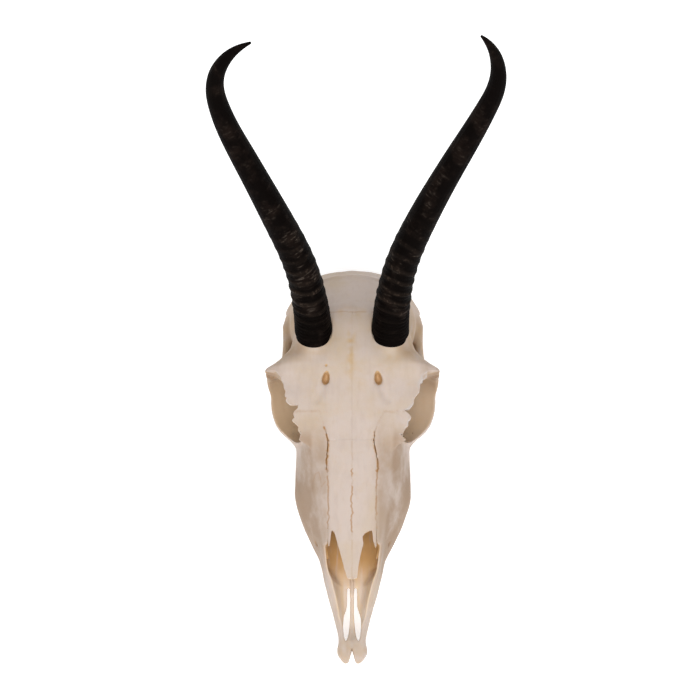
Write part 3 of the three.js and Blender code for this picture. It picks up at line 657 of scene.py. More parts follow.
# each form is worked out between two corners of the lattice, with the softness of its join last
cutShape(bone, halfAxes, (0, 10, 5), (9, 43, 25), slitShape, 0.5)
cutShape(bone, halfAxes, (0, -3, 5), (9, 8, 25), knobShape, 0.6)
cutShape(bone, halfAxes, (0, -6, 12), (30, 60, 80), openingShape, 0.8)
addShape(bone, halfAxes, (0, 34, 14), (4, 106, 45), vomerShape, 1.2)
addShape(bone, halfAxes, (4, 50, 20), (18, 106, 55), scrollShape, 1.2)
addShape(bone, halfAxes, (6, 84, 20), (60, 150, 90), orbitWall, 2.0)
addShape(bone, halfAxes, (6, 102, 12), (12, 148, 50), throatPlateShape, 2.0)
spans = window(halfAxes, (0, 132, 20), (40, 206, 90))[0]
stations = np.arange(132, 205.7, 0.8)
caseField = loftField(stations, braincaseCorners(stations), spans)
bone[spans] = softMin(bone[spans], caseField, 3.0)
cutShape(bone, halfAxes, (0, 104, 6), (10, 140, 46), throatHollowShape, 1.5)
cutShape(bone, halfAxes, (6, 84, 20), (60, 160, 90), orbitHollow, 1.2)
archAcross, archUp = track(cheekArch["halfThickness"]), track(cheekArch["halfHeight"])
archTube = tube(cheekArch["path"], archAcross, archUp, (1, 0, 0.15))
addShape(bone, halfAxes, (18, 88, 20), (48, 186, 60), archTube, 2.5)
barTube = tube(eyeBar["path"], track(eyeBar["halfWidth"]), track(eyeBar["halfThickness"]), (0.3, 1, 0), 14)
addShape(bone, halfAxes, (36, 132, 40), (48, 148, 76), barTube, 2.5)
webTube = tube(eyeBar["web"], flat(1.5), flat(4.5), (0, 1, 0), 10)
addShape(bone, halfAxes, (26, 132, 56), (48, 148, 76), webTube, 1.5)
cutShape(bone, halfAxes, (6, 84, 20), (60, 160, 90), orbitHollow, 0.5)
cutShape(bone, halfAxes, (42, 134, 42), (48, 144, 50), ellipsoid(*eyeBar["nick"]), 0.6)
addShape(bone, halfAxes, (14, 148, 34), (38, 186, 48), ellipsoid(**jawShelf), 2.5)
addShape(bone, halfAxes, (9, 163, 8), (28, 187, 34), ellipsoid(*skullBase["earBulb"]), 2.0)
neckKnob = ellipsoid(*skullBase["neckJoint"], skullBase["neckTilt"])
addShape(bone, halfAxes, (2, 191, 17), (20, 209, 40), neckKnob, 1.6)
cutShape(bone, halfAxes, (0, 178, 30), (12, 212, 50), spineShape, 1.2)
footAcross, footUp = track(skullBase["footThickness"]), track(skullBase["footLength"])
footTube = tube(skullBase["footPath"], footAcross, footUp, (1, 0, 0), 16)
addShape(bone, halfAxes, (14, 180, 3), (34, 200, 46), footTube, 2.0)
cutShape(bone, halfAxes, (22, 174, 36), (44, 182, 46), ellipsoid(*skullBase["earHole"]), 1.2)

# low ridges at the back of the skull, where the neck's muscles held
spans, x, s, z = window(halfAxes, (0, 180, 34), (36, 209, 74))
place, bow = neckRidges["acrossAt"]
across = np.exp(-((s - place + bow * x * x) / neckRidges["acrossReach"]) ** 2) * np.clip((z - 38) / 8, 0, 1)
upright = np.exp(-(x / neckRidges["uprightReach"]) ** 2)
upright = upright * np.clip((s - 199) / 3, 0, 1) * np.clip((z - 49) / 3, 0, 1)
bone[spans] -= (neckRidges["across"] * across + neckRidges["upright"] * upright).astype(np.float32)
print("skull base, cheeks and braincase worked out")

# the whole skull from here on, as the two sides differ in their breaks
wholeXs = np.concatenate([-xs[:0:-1], xs])
axes = (wholeXs, ss, zs)
bone = np.concatenate([bone[:0:-1], bone])
nasalBone = np.concatenate([nasalBone[:0:-1], nasalBone])
air = np.concatenate([air[:0:-1], air])

# plan of each eye socket's broken roof as [s, distance from the middle], with the rag that roughens it
browBreaks = {
    1: [[100, 31], [103.3, 29], [104.6, 26.2], [106, 24.6], [106.5, 26.2], [108.3, 26.9], [110, 28.7],
        [112.2, 28.5], [113.9, 30], [115.2, 29.3], [117.1, 27.2], [117.8, 29.5], [121, 31.8], [124, 32.7],
        [127, 34.3], [130.4, 35.2], [134.8, 36.4], [137.3, 39.2], [138.6, 44.5], [140, 50]],
    -1: [[100, 31], [103, 29.2], [104.2, 27.8], [106, 25.9], [107.5, 27], [108.3, 28.4], [110, 28],
         [111.4, 29.5], [112.6, 30.9], [114.2, 29.5], [115.2, 30.7], [116.5, 30], [117.8, 28.5],
         [119.5, 28.2], [120, 32.2], [121.5, 33.5], [125.3, 34.9], [128.1, 35.3], [131.5, 36.1],
         [134.8, 37.2], [137.3, 39.4], [138.6, 44.7], [140, 50]],
}
browRag = {
    "lines": {1: (wave(11, 1.2), wave(12, 2.3)), -1: (wave(21, 1.2), wave(22, 2.3))},
    "heights": (0.45, 0.35),
    "calmFrom": 137,
    "calmOver": 5,
    "cutDepth": 5.5,
}


def browLine(side, s):
    # ragged edge of the eye socket's roof, seen from above
    at, out = np.array(browBreaks[side], float).T
    fade = np.clip((browRag["calmFrom"] - s) / browRag["calmOver"], 0, 1)
    rag = [height * line(s) for height, line in zip(browRag["heights"], browRag["lines"][side])]
    return np.interp(s, at, out) + fade * (rag[0] + rag[1])


def browCut(side, x, s, z):
    # the air beyond that edge, down to just under the roof
    steep = (browLine(side, s + 0.3) - browLine(side, s - 0.3)) / 0.6
    beyond = (browLine(side, s) - side * x) / np.sqrt(1 + steep ** 2)
    return np.maximum(beyond, browEdgeHeight(s) - browRag["cutDepth"] - z)


browHoles = {
    "centre": (13.4, 131.8),
    "half": (1.9, 2.75),
    "taper": (0.88, 0.17),  # mean width of the tear, and how much narrower it gets behind
    "splay": 0.16,
    "bottom": 78,
    "pit": ((-13.3, 137.4, 85.8), (0.4, 0.5, 1.6)),
    "groove": [[14.0, 129.6, 83.6], [15.9, 125, 82.0], [18.4, 120.4, 80.4]],
}
cheekHole = ((21.5, 60, 29.5), (3.6, 1.9, 1.5))


def browHole(side, x, s, z):
    # upright shaft with a tear-shaped mouth, pointed behind and leaning outwards in front
    dx, ds = side * x - browHoles["centre"][0], s - browHoles["centre"][1]
    lean = browHoles["splay"]
    half, tall = browHoles["half"]
    mean, taper = browHoles["taper"]
    along = (ds * math.cos(lean) - dx * math.sin(lean)) / tall
    across = (dx * math.cos(lean) + ds * math.sin(lean)) / (half * (mean - taper * np.clip(along, -1, 1)))
    away = (np.sqrt(along ** 2 + across ** 2) - 1) * half
    return softMax(away + 0 * z, browHoles["bottom"] - z, 3.0)


for side in (1, -1):
    low, high = sorted((side * 9, side * 18))
    spans, x, s, z = window(axes, (low, 126, 74), (high, 137, 92))
    bone[spans] = softMax(bone[spans], -browHole(side, x, s, z), 0.9)
    groove = tube(np.array(browHoles["groove"]) * np.array([side, 1, 1]), flat(1.9), flat(2.2), (1, 0, 0), 8)
    low, high = sorted((side * 9, side * 21))
    cutShape(bone, axes, (low, 112, 72), (high, 131, 88), groove, 2.2)
    low, high = sorted((side * 15, side * 26))
    hole = ellipsoid((side * cheekHole[0][0],) + cheekHole[0][1:], cheekHole[1])
    cutShape(bone, axes, (low, 57, 30), (high, 65, 37), hole, 0.8)
cutShape(bone, axes, (-15, 134, 80), (-12, 139, 90), ellipsoid(*browHoles["pit"]), 0.3)


def hornHeading(side, share):
    # direction of the horn's axis: it leans back and spreads as the two tracks say
    up = np.radians(track(horn["lean"])(share))
    out = np.radians(track(horn["spread"][side])(share))
    return np.stack([side * np.sin(out), np.cos(out) * np.cos(up), np.cos(out) * np.sin(up)], axis=-1)


seatNormal = np.array([0, math.sin(horn["seatTilt"]), math.cos(horn["seatTilt"])])


def hornFoot(side, margin):
    # flared oval round the foot of the horn's axis, the place along the axis and the height over its seat
    base = np.array(horn["base"][side], float)
    axis = hornHeading(side, 0.0)
    lateral = np.array([1.0, 0, 0]) - axis[0] * axis
    lateral /= np.linalg.norm(lateral)
    normal = np.cross(axis, lateral)
    radius = horn["width"][0][1] / 2

    def shape(x, s, z):
        d = (x - base[0], s - base[1], z - base[2])
        along, a, b = (onto(d, v) for v in (axis, lateral, normal))
        flare = radius + margin + horn["flare"] * np.clip(-along / horn["flareOver"], 0, 2) ** 2
        away = (np.sqrt((a / flare) ** 2 + (b / (flare * horn["depthShare"][0][1])) ** 2) - 1) * flare
        level = onto(d, seatNormal) - horn["seatLift"] + 0.1
        return away, along, level

    return shape


def stumpShape(side):
    # bony stump under the horn, cut off level with the horn's seat
    foot = hornFoot(side, -1.0)

    def shape(x, s, z):
        away, along, level = foot(x, s, z)
        return softMax(softMax(away, -horn["stump"] - along, 2.0), level, 0.6)

    return shape


def seatShape(side):
    # room for the horn itself over its seat
    foot = hornFoot(side, 0.3)

    def shape(x, s, z):
        away, _, level = foot(x, s, z)
        return np.maximum(away, -level)

    return shape


for side in (1, -1):
    low, high = sorted((side * 4, side * 36))
    addShape(bone, axes, (low, 140, 72), (high, 174, 92), stumpShape(side), 3.0)
    cutShape(bone, axes, (low, 140, 72), (high, 174, 92), seatShape(side), 0.3)
ground = placing["floor"] - zs[None, None, :]
bone = np.maximum(bone, ground).astype(np.float32)
print("breaks, holes and horn stumps worked out")

# where the bones part: each region is a distance that is negative inside the bone it names
seams = {
    "gap": 0.008,
    "fissure": 0.3,
    "fissureFrom": 86,
    "fissureOver": 22,
    "slit": (101, 108.2),
    "slitAbove": 62,
    "nasalTip": 37.2,
    "nasalEnd": 101.6,
    "nasalDepth": 11,
    "spikeHalf": 12.6,
    "spikeEnd": 62,
    "crown": ([38, 62], [157, 166.6]),  # heights, and the seam's place at each
    "crownJag": (0.7, 0.4),
    "brow": ([16.5, 30, 60], [115.4, 116.4, 116.4]),  # distances from the middle, and its place at each
    "browJag": 0.35,
    "tongueFrom": 99,
    "snout": ([13, 46], [41, 60]),
    "cheek": ([102, 163.5], [30.6, 35.6]),
    "cheekHeight": (18, 66),
    "base": 38,
    "baseFrom": 124,
}
jagNose, jagNoseFine, jagCrown, jagCrownFine = wave(31, 2.6), wave(32, 1.1), wave(33, 4.2), wave(34, 1.7)
jagEdge, jagFore = wave(35, 2.2), wave(36, 3.0)
nasalEdges = {
    1: [[37.2, 0.6], [37.6, 2.7], [42.5, 3.25], [48.6, 4.5], [53, 5.8], [54, 5.7], [56.5, 5.4], [58.2, 6.6],
        [59.5, 8.9], [60.2, 11.2], [60.6, 12.6], [66, 12.5], [75.8, 12.3], [84, 12.8], [90.6, 13.4],
        [96, 12.3], [101.7, 11], [104, 10.8]],
    -1: [[37.2, 0.6], [37.6, 2.5], [42.5, 4.3], [47.8, 5.8], [55.5, 8.3], [58.3, 9.1], [59.5, 9.9],
         [60.2, 11.4], [60.6, 12.6], [66, 12.5], [75.8, 12.3], [84, 12.8], [90.6, 13.4], [96, 12.9],
         [101.7, 12.3], [104, 12.2]],
}
spikes = {
    1: [[52.6, 11.9], [55, 10.9], [58, 10.6], [60, 10.2], [61.5, 9]],
    -1: [[52.2, 12.3], [54, 11.7], [57, 11.2], [60, 10.7], [61.5, 9.5]],
}
foreheadEdges = {
    1: [[98, 10.6], [101.7, 11.0], [108, 12.3], [115.3, 16.8]],
    -1: [[98, 12.0], [101.7, 12.3], [108, 14.4], [115.3, 16.8]],
}


def bySide(table, x, s):
    # what the left's or the right's line says at s
    left, right = (np.interp(s, *np.array(table[side], float).T) for side in (1, -1))
    return np.where(x > 0, left, right)


def midline(s):
    # zigzag seam between the two nasals, nearly straight on the forehead
    zig = np.interp(s, [56, 62, 88, 94], [0.12, 0.75, 0.75, 0.1])
    return zig * (0.55 * jagNose(s) + 0.6 * jagNoseFine(s))


def nasalEdge(x, s):
    jag = np.where(s > 63, 0.30 * jagEdge(s) + 0.26 * jagNoseFine(s + 40), 0.05 * jagNoseFine(s + 40))
    return bySide(nasalEdges, x, s) + jag


def fissure(s):
    # how wide the slit beside the back of the nasal gapes
    share = np.clip((s - seams["fissureFrom"]) / seams["fissureOver"], 0, 1)
    return seams["fissure"] * np.clip(np.sin(np.pi * share), 0, 1) ** 0.7


def nasalBack(x, s):
    # how far behind the nasals' back edge a place lies
    return s - seams["nasalEnd"] - 0.3 * jagFore(x)


def nasalRegion(x, s, z, wider=0.0):
    # each nasal's plate, and the spike beside its free front
    slope = (nasalEdge(x, s + 0.25) - nasalEdge(x, s - 0.25)) / 0.5
    beside = (np.abs(x) - nasalEdge(x, s)) / np.sqrt(1 + slope ** 2) - wider
    plate = np.maximum(beside, np.maximum(seams["nasalTip"] - s, nasalBack(x, s)))
    tip = np.where(x > 0, spikes[1][0][0], spikes[-1][0][0])
    spike = np.maximum(bySide(spikes, x, s) - np.abs(x), np.abs(x) - seams["spikeHalf"] - wider)
    spike = np.maximum(spike, np.maximum(tip - s, s - seams["spikeEnd"]))
    return np.maximum(np.minimum(plate, spike), snoutRoof(s) - seams["nasalDepth"] - z)


def foreheadEdge(x, s):
    # side of the forehead's tongue behind the nasals, along which the slit goes on
    return bySide(foreheadEdges, x, s) + 0.2 * jagEdge(s)


def slitRegion(x, s, z):
    start, end = seams["slit"]
    half = 0.02 + 0.5 * fissure(s) * np.clip((end - s) / 3, 0, 1)
    ends = np.maximum(np.maximum(start - s, s - end), seams["slitAbove"] - z)
    return np.maximum(np.abs(np.abs(x) - foreheadEdge(x, s)) - half, ends)


def crownSeam(x, z):
    # where the forehead meets the braincase, jagged over the roof alone
    jag = seams["crownJag"][0] * jagCrown(x) + seams["crownJag"][1] * jagCrownFine(x)
    return np.interp(z, *seams["crown"]) + np.where(z > seams["crown"][0][1], jag, 0)


def backRegion(x, s, z):
    return np.maximum(seams["baseFrom"] - s, np.minimum(crownSeam(x, z) - s, z - seams["base"]))


def foreheadRegion(x, s, z):
    outer = np.interp(np.abs(x), *seams["brow"]) + seams["browJag"] * jagFore(x) - s
    middle = np.maximum(np.abs(x) - foreheadEdge(x, s), seams["tongueFrom"] - s)
    return np.maximum(seams["base"] - z, np.minimum(outer, middle))


def snoutRegion(x, s, z):
    return s - np.interp(z, *seams["snout"]) - 0.2 * jagFore(z)


def cheekRegion(x, s, z):
    front, back = seams["cheek"][0]
    low, high = seams["cheekHeight"]
    box = np.maximum(np.maximum(front - s, s - back), np.maximum(low - z, z - high))
    return np.maximum(np.interp(s, *seams["cheek"]) - np.abs(x), box)


def sideRegion(side, x, s):
    return -side * (x - midline(s))


def boneRegion(name):
    # what each bone keeps; a hair's gap parts it from the next, closed where four bones meet on the midline
    side = 1 if name.endswith("left") else -1

    def region(x, s, z):
        gap = seams["gap"] - 0.2 * np.exp(-x * x - (s - seams["nasalEnd"]) ** 2)
        nasal = nasalRegion(x, s, z)
        beside = gap - nasalRegion(x, s, z, 0.04 + fissure(s))
        if name.startswith("nasal"):
            return np.maximum(nasal, sideRegion(side, x, s)) + gap
        if name.startswith("cheek"):
            return np.maximum(np.maximum(cheekRegion(x, s, z), -side * x) + gap, -browCut(side, x, s, z))
        cheek, back = cheekRegion(x, s, z), backRegion(x, s, z)
        if name == "braincase":
            return np.maximum(back, -cheek) + gap
        half = np.maximum(sideRegion(side, x, s) + gap, beside)
        front, fore = snoutRegion(x, s, z), foreheadRegion(x, s, z)
        if name.startswith("premaxilla"):
            return np.maximum(np.maximum(front, -cheek) + gap, half)
        others = np.maximum(np.maximum(-cheek, -back), -front) + gap
        breaks = np.maximum(-slitRegion(x, s, z), -browCut(side, x, s, z))
        mine = fore if name.startswith("frontal") else -fore
        return np.maximum(np.maximum(mine + gap, others), np.maximum(half, breaks))

    return region


def sampleField(field, points):
    # value and slope of the lattice at any points, blended from the eight corners around each
    start = np.array([axis[0] for axis in axes])
    u = (points - start) / cell
    i = np.clip(np.floor(u).astype(int), 0, np.array(field.shape) - 2)
    f = np.clip(u - i, 0, 1)
    c = [field[i[:, 0] + (k & 1), i[:, 1] + (k >> 1 & 1), i[:, 2] + (k >> 2 & 1)] for k in range(8)]
    fx, fy, fz = f.T
    a = [c[k] + (c[k + 1] - c[k]) * fx for k in (0, 2, 4, 6)]
    b0, b1 = a[0] + (a[1] - a[0]) * fy, a[2] + (a[3] - a[2]) * fy
    dx = [c[k + 1] - c[k] for k in (0, 2, 4, 6)]
    dx0, dx1 = dx[0] + (dx[1] - dx[0]) * fy, dx[2] + (dx[3] - dx[2]) * fy
    dy0, dy1 = a[1] - a[0], a[3] - a[2]
    slope = np.stack([dx0 + (dx1 - dx0) * fz, dy0 + (dy1 - dy0) * fz, b1 - b0], axis=1) / cell
    return b0 + (b1 - b0) * fz, slope


def passed(values):
    # lattice cubes with corners on both sides of a surface
    inside = values < 0
    ends = (slice(0, -1), slice(1, None))
    corners = [inside[a, b, c] for a in ends for b in ends for c in ends]
    return np.any(corners, axis=0) & ~np.all(corners, axis=0)


def netSurface(values):
    # one point in each lattice cube that the surface passes, four joined across each edge that it crosses
    inside = values < 0
    mixed = passed(values)
    cubes = np.argwhere(mixed)
    index = np.full(mixed.shape, -1, np.int64)
    index[mixed] = np.arange(len(cubes))
    total = np.zeros((len(cubes), 3))
    hits = np.zeros(len(cubes))
    quads = []
    for axis in range(3):
        step = np.eye(3, dtype=int)[axis]
        b, c = (axis + 1) % 3, (axis + 2) % 3
        for db, dc in ((0, 0), (0, 1), (1, 0), (1, 1)):
            corner = cubes.copy()
            corner[:, b] += db
            corner[:, c] += dc
            v0 = values[tuple(corner.T)]
            v1 = values[tuple((corner + step).T)]
            crossed = (v0 < 0) != (v1 < 0)
            t = v0 / np.where(crossed, v0 - v1, 1)
            total[crossed] += corner[crossed] + t[crossed, None] * step
            hits += crossed
        low = np.take(inside, range(inside.shape[axis] - 1), axis)
        high = np.take(inside, range(1, inside.shape[axis]), axis)
        edges = np.argwhere(low != high)
        keep = (edges[:, b] > 0) & (edges[:, c] > 0)
        keep &= (edges[:, b] < inside.shape[b] - 1) & (edges[:, c] < inside.shape[c] - 1)
        edges = edges[keep]
        around = []
        for db, dc in ((-1, -1), (0, -1), (0, 0), (-1, 0)):
            cube = edges.copy()
            cube[:, b] += db
            cube[:, c] += dc
            around.append(index[tuple(cube.T)])
        around = np.stack(around, axis=1)
        facing = inside[tuple(edges.T)]
        quads.append(np.where(facing[:, None], around, around[:, ::-1]))
    return total / hits[:, None], np.concatenate(quads), cubes


def keepMain(points, quads):
    # drops loose crumbs: points take the lowest number that they are joined to, and small sets go
    label = np.arange(len(points))
    pairs = np.concatenate([quads[:, [0, 1]], quads[:, [1, 2]], quads[:, [2, 3]], quads[:, [3, 0]]])
    while True:
        least = np.minimum(label[pairs[:, 0]], label[pairs[:, 1]])
        fresh = label.copy()
        np.minimum.at(fresh, pairs[:, 0], least)
        np.minimum.at(fresh, pairs[:, 1], least)
        fresh = fresh[fresh[fresh]]
        if np.array_equal(fresh, label):
            break
        label = fresh
    sizes = np.bincount(label, minlength=len(points))
    kept = sizes[label] > 0.02 * len(points)
    number = np.cumsum(kept) - 1
    return kept, number[quads[kept[quads[:, 0]]]]


def regionSlope(region, p):
    h = 0.02
    value = region(*p.T)
    lift = [(region(*(p + h * step).T) - region(*(p - h * step).T)) / (2 * h) for step in np.eye(3)]
    return value, np.stack(lift, axis=1)


def held(move, most):
    far = np.linalg.norm(move, axis=1, keepdims=True)
    return move * np.minimum(1, most / np.maximum(far, 1e-9))


def towards(value, slope):
    # shortest step on to one surface
    return -value[:, None] * slope / np.maximum(np.sum(slope * slope, axis=1), 0.05)[:, None]


def towardsBoth(value, slope, limit, fall):
    # shortest step on to two surfaces at once
    a, b, c = (np.sum(p * q, axis=1) for p, q in ((slope, slope), (slope, fall), (fall, fall)))
    area = np.maximum(a * c - b * b, 0.02)
    first, second = (c * value - b * limit) / area, (a * limit - b * value) / area
    return -first[:, None] * slope - second[:, None] * fall


boneRipple = [(0.10, 6.0, 71), (0.05, 2.3, 72)]  # height, pitch and seed


def cutBone(field, region, low, high):
    # the bone inside a region, its points drawn on to the bone, the parting, or both at a rim
    block, x, s, z = window(axes, low, high, 1.2)
    limits = region(x, s, z) + 0 * field[block]
    values = np.maximum(field[block], limits).astype(np.float32)
    for axis in range(3):
        edge = [slice(None)] * 3
        for end in (0, -1):
            edge[axis] = end
            values[tuple(edge)] = np.maximum(values[tuple(edge)], 0.1)
    points, quads, cubes = netSurface(values)
    rim = (passed(field[block]) & passed(limits))[tuple(cubes.T)]
    start = np.array([axes[k][block[k].start] for k in range(3)])
    kept, quads = keepMain(points, quads)
    first = start + points[kept] * cell
    points, rim = first, rim[kept]
    for turn in range(5):
        value, slope = sampleField(field, points)
        limit, fall = regionSlope(region, points)
        onBone = value > limit
        one = np.where(onBone[:, None], towards(value, slope), towards(limit, fall))
        both = towardsBoth(value, slope, limit, fall)
        strayed = np.linalg.norm(points - first, axis=1) > 1.3 * cell
        move = np.where((rim & ~strayed)[:, None], both, one)
        points = points + held(move, 0.6 * cell)
    slope = sampleField(field, points)[1]
    normal = slope / np.maximum(np.linalg.norm(slope, axis=1, keepdims=True), 1e-6)
    ripple = sum(size * grain(points, pitch, seed) for size, pitch, seed in boneRipple)
    points = points + normal * (ripple * (onBone | rim))[:, None]
    points[:, 2] = np.maximum(points[:, 2], placing["floor"])
    return points, quads, normal


def addMesh(name, points, faces, material, attributes=(), uv=None, crease=50):
    # whole arrays into a mesh in the part's own frame
    mesh = bpy.data.meshes.new(name)
    mesh.vertices.add(len(points))
    mesh.vertices.foreach_set("co", toRow(points).astype(np.float32).ravel())
    sizes = np.concatenate([np.full(len(group), group.shape[1]) for group in faces])
    loops = np.concatenate([group.ravel() for group in faces])
    mesh.loops.add(len(loops))
    mesh.loops.foreach_set("vertex_index", loops.astype(np.int32))
    mesh.polygons.add(len(sizes))
    mesh.polygons.foreach_set("loop_start", np.concatenate([[0], np.cumsum(sizes)[:-1]]).astype(np.int32))
    mesh.polygons.foreach_set("loop_total", sizes.astype(np.int32))
    mesh.update(calc_edges=True)
    mesh.validate()
    mesh.shade_smooth()
    mesh.set_sharp_from_angle(angle=math.radians(crease))
    for label, values in dict(attributes).items():
        layer = mesh.attributes.new(label, "FLOAT", "POINT")
        layer.data.foreach_set("value", np.asarray(values, np.float32))
    if uv is not None:
        layer = mesh.uv_layers.new(name="hornMap")
        layer.data.foreach_set("uv", uv[loops].astype(np.float32).ravel())
    mesh.materials.append(material)
    piece = bpy.data.objects.new(name, mesh)
    bpy.context.scene.collection.objects.link(piece)
    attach(piece, "root")
    return piece


# shader helpers
def newGroup(name, inputs, outputs):
    # node group whose inputs are given as name and default, with one vector input for the place
    group = bpy.data.node_groups.new(name, "ShaderNodeTree")
    group.interface.new_socket(name="Vector", in_out="INPUT", socket_type="NodeSocketVector")
    for label, value in inputs.items():
        socket = group.interface.new_socket(name=label, in_out="INPUT", socket_type="NodeSocketFloat")
        socket.default_value = value
    for label in outputs:
        group.interface.new_socket(name=label, in_out="OUTPUT", socket_type="NodeSocketFloat")
    start = group.nodes.new("NodeGroupInput")
    end = group.nodes.new("NodeGroupOutput")
    return group, start.outputs, end.inputs


def addNode(tree, kind, **settings):
    node = tree.nodes.new(kind)
    for label, value in settings.items():
        setattr(node, label, value)
    return node


def feed(tree, socket, value):
    if isinstance(value, bpy.types.NodeSocket):
        tree.links.new(value, socket)
    else:
        socket.default_value = value


def feedAll(tree, node, values):
    for label, value in values.items():
        feed(tree, node.inputs[label], value)


def maths(tree, operation, a, b, clamp=False):
    node = addNode(tree, "ShaderNodeMath", operation=operation, use_clamp=clamp)
    feed(tree, node.inputs[0], a)
    feed(tree, node.inputs[1], b)
    return node.outputs[0]


def times(tree, a, b, clamp=False):
    return maths(tree, "MULTIPLY", a, b, clamp)


def plus(tree, a, b, clamp=False):
    return maths(tree, "ADD", a, b, clamp)


def noiseOf(tree, where, scale, detail, rough):
    node = addNode(tree, "ShaderNodeTexNoise")
    feedAll(tree, node, {"Vector": where, "Scale": scale, "Detail": detail, "Roughness": rough})
    return node.outputs["Fac"]


def ramp(tree, value, low, high):
    # eases from 0 at low to 1 at high
    node = addNode(tree, "ShaderNodeMapRange", interpolation_type="SMOOTHSTEP")
    feedAll(tree, node, {"Value": value, "From Min": low, "From Max": high})
    return node.outputs["Result"]


def mixColour(tree, share, a, b):
    node = addNode(tree, "ShaderNodeMix", data_type="RGBA")
    feed(tree, node.inputs["Factor"], share)
    feed(tree, node.inputs[6], a)
    feed(tree, node.inputs[7], b)
    return node.outputs[2]


def mapped(tree, where, scale):
    node = addNode(tree, "ShaderNodeMapping")
    feedAll(tree, node, {"Vector": where, "Scale": scale})
    return node.outputs["Vector"]


def addBump(tree, shader, height, strength, distance):
    bump = addNode(tree, "ShaderNodeBump")
    feedAll(tree, bump, {"Strength": strength, "Distance": distance, "Height": height})
    feed(tree, shader.inputs["Normal"], bump.outputs["Normal"])


def mottleGroup():
    # uneven tone in two sizes of patch, a grain that runs along the part, and fine pores
    outputs = ["Tone", "Spots", "Streak", "Pores"]
    group, given, result = newGroup("mottle", {"Patch": 60.0, "Fine": 700.0}, outputs)
    where, patch = given["Vector"], given["Patch"]
    feed(group, result["Tone"], noiseOf(group, where, patch, 4.0, 0.6))
    spots = noiseOf(group, where, times(group, patch, 4.3), 5.0, 0.65)
    feed(group, result["Spots"], ramp(group, spots, 0.52, 0.74))
    along = mapped(group, where, (1.0, 0.09, 0.6))
    feed(group, result["Streak"], noiseOf(group, along, times(group, patch, 9.0), 4.0, 0.6))
    feed(group, result["Pores"], noiseOf(group, where, given["Fine"], 4.0, 0.7))
    return group


def inkGroup():
    # stained line: strongest where the distance to the seam is nil, its width broken up by a fine noise
    inputs = {"Distance": 5.0, "Strength": 1.0, "Width": 0.3}
    group, given, result = newGroup("seamInk", inputs, ["Mask"])
    speckled = noiseOf(group, given["Vector"], 900.0, 3.0, 0.6)
    broken = noiseOf(group, given["Vector"], 260.0, 2.0, 0.5)
    width = times(group, given["Width"], plus(group, times(group, speckled, 1.4), 0.25))
    line = maths(group, "SUBTRACT", 1.0, ramp(group, given["Distance"], 0.0, width))
    gaps = ramp(group, broken, 0.30, 0.55)
    feed(group, result["Mask"], times(group, times(group, line, gaps), given["Strength"], True))
    return group


mottle = mottleGroup()
seamInk = inkGroup()


def placeGroup(tree, group, values):
    # the group with its own values, at places in the object's own frame
    node = addNode(tree, "ShaderNodeGroup", node_tree=group)
    where = addNode(tree, "ShaderNodeTexCoord").outputs["Object"]
    feedAll(tree, node, {"Vector": where, **values})
    return node.outputs


def newMaterial(name):
    material = bpy.data.materials.new(name)
    material.use_nodes = True
    tree = material.node_tree
    return material, tree, tree.nodes["Principled BSDF"]


def attributeOf(tree, name):
    return addNode(tree, "ShaderNodeAttribute", attribute_name=name).outputs["Fac"]


boneFinish = {
    "pale": (0.500, 0.412, 0.360, 1),
    "warm": (0.482, 0.380, 0.288, 1),
    "rosy": (0.415, 0.325, 0.278, 1),
    # painted shade for the flanks, temples and under the brow
    "flank": (0.30, 0.202, 0.132, 1),
    # painted shade, tan, for hollows, and deeper for small holes
    "hollowShade": (0.445, 0.32, 0.205, 1),
    "recessShade": (0.50, 0.31, 0.15, 1),
    # the nose's inner faces lightened as painted light, and a painted orange glow deeper in
    "inner": (0.70, 0.575, 0.47, 1),
    "innerPaintedLightWarm": (0.72, 0.545, 0.345, 1),
    "nose": (0.65, 0.395, 0.165, 1),
    "seam": (0.34, 0.165, 0.05, 1),
    "stain": (0.46, 0.30, 0.135, 1),
    "broken": (0.47, 0.42, 0.395, 1),
    "roughness": (0.50, 0.72),
    "seamWidth": 0.55,
    "bump": (0.35, 0.00025),  # strength and height in metres
}


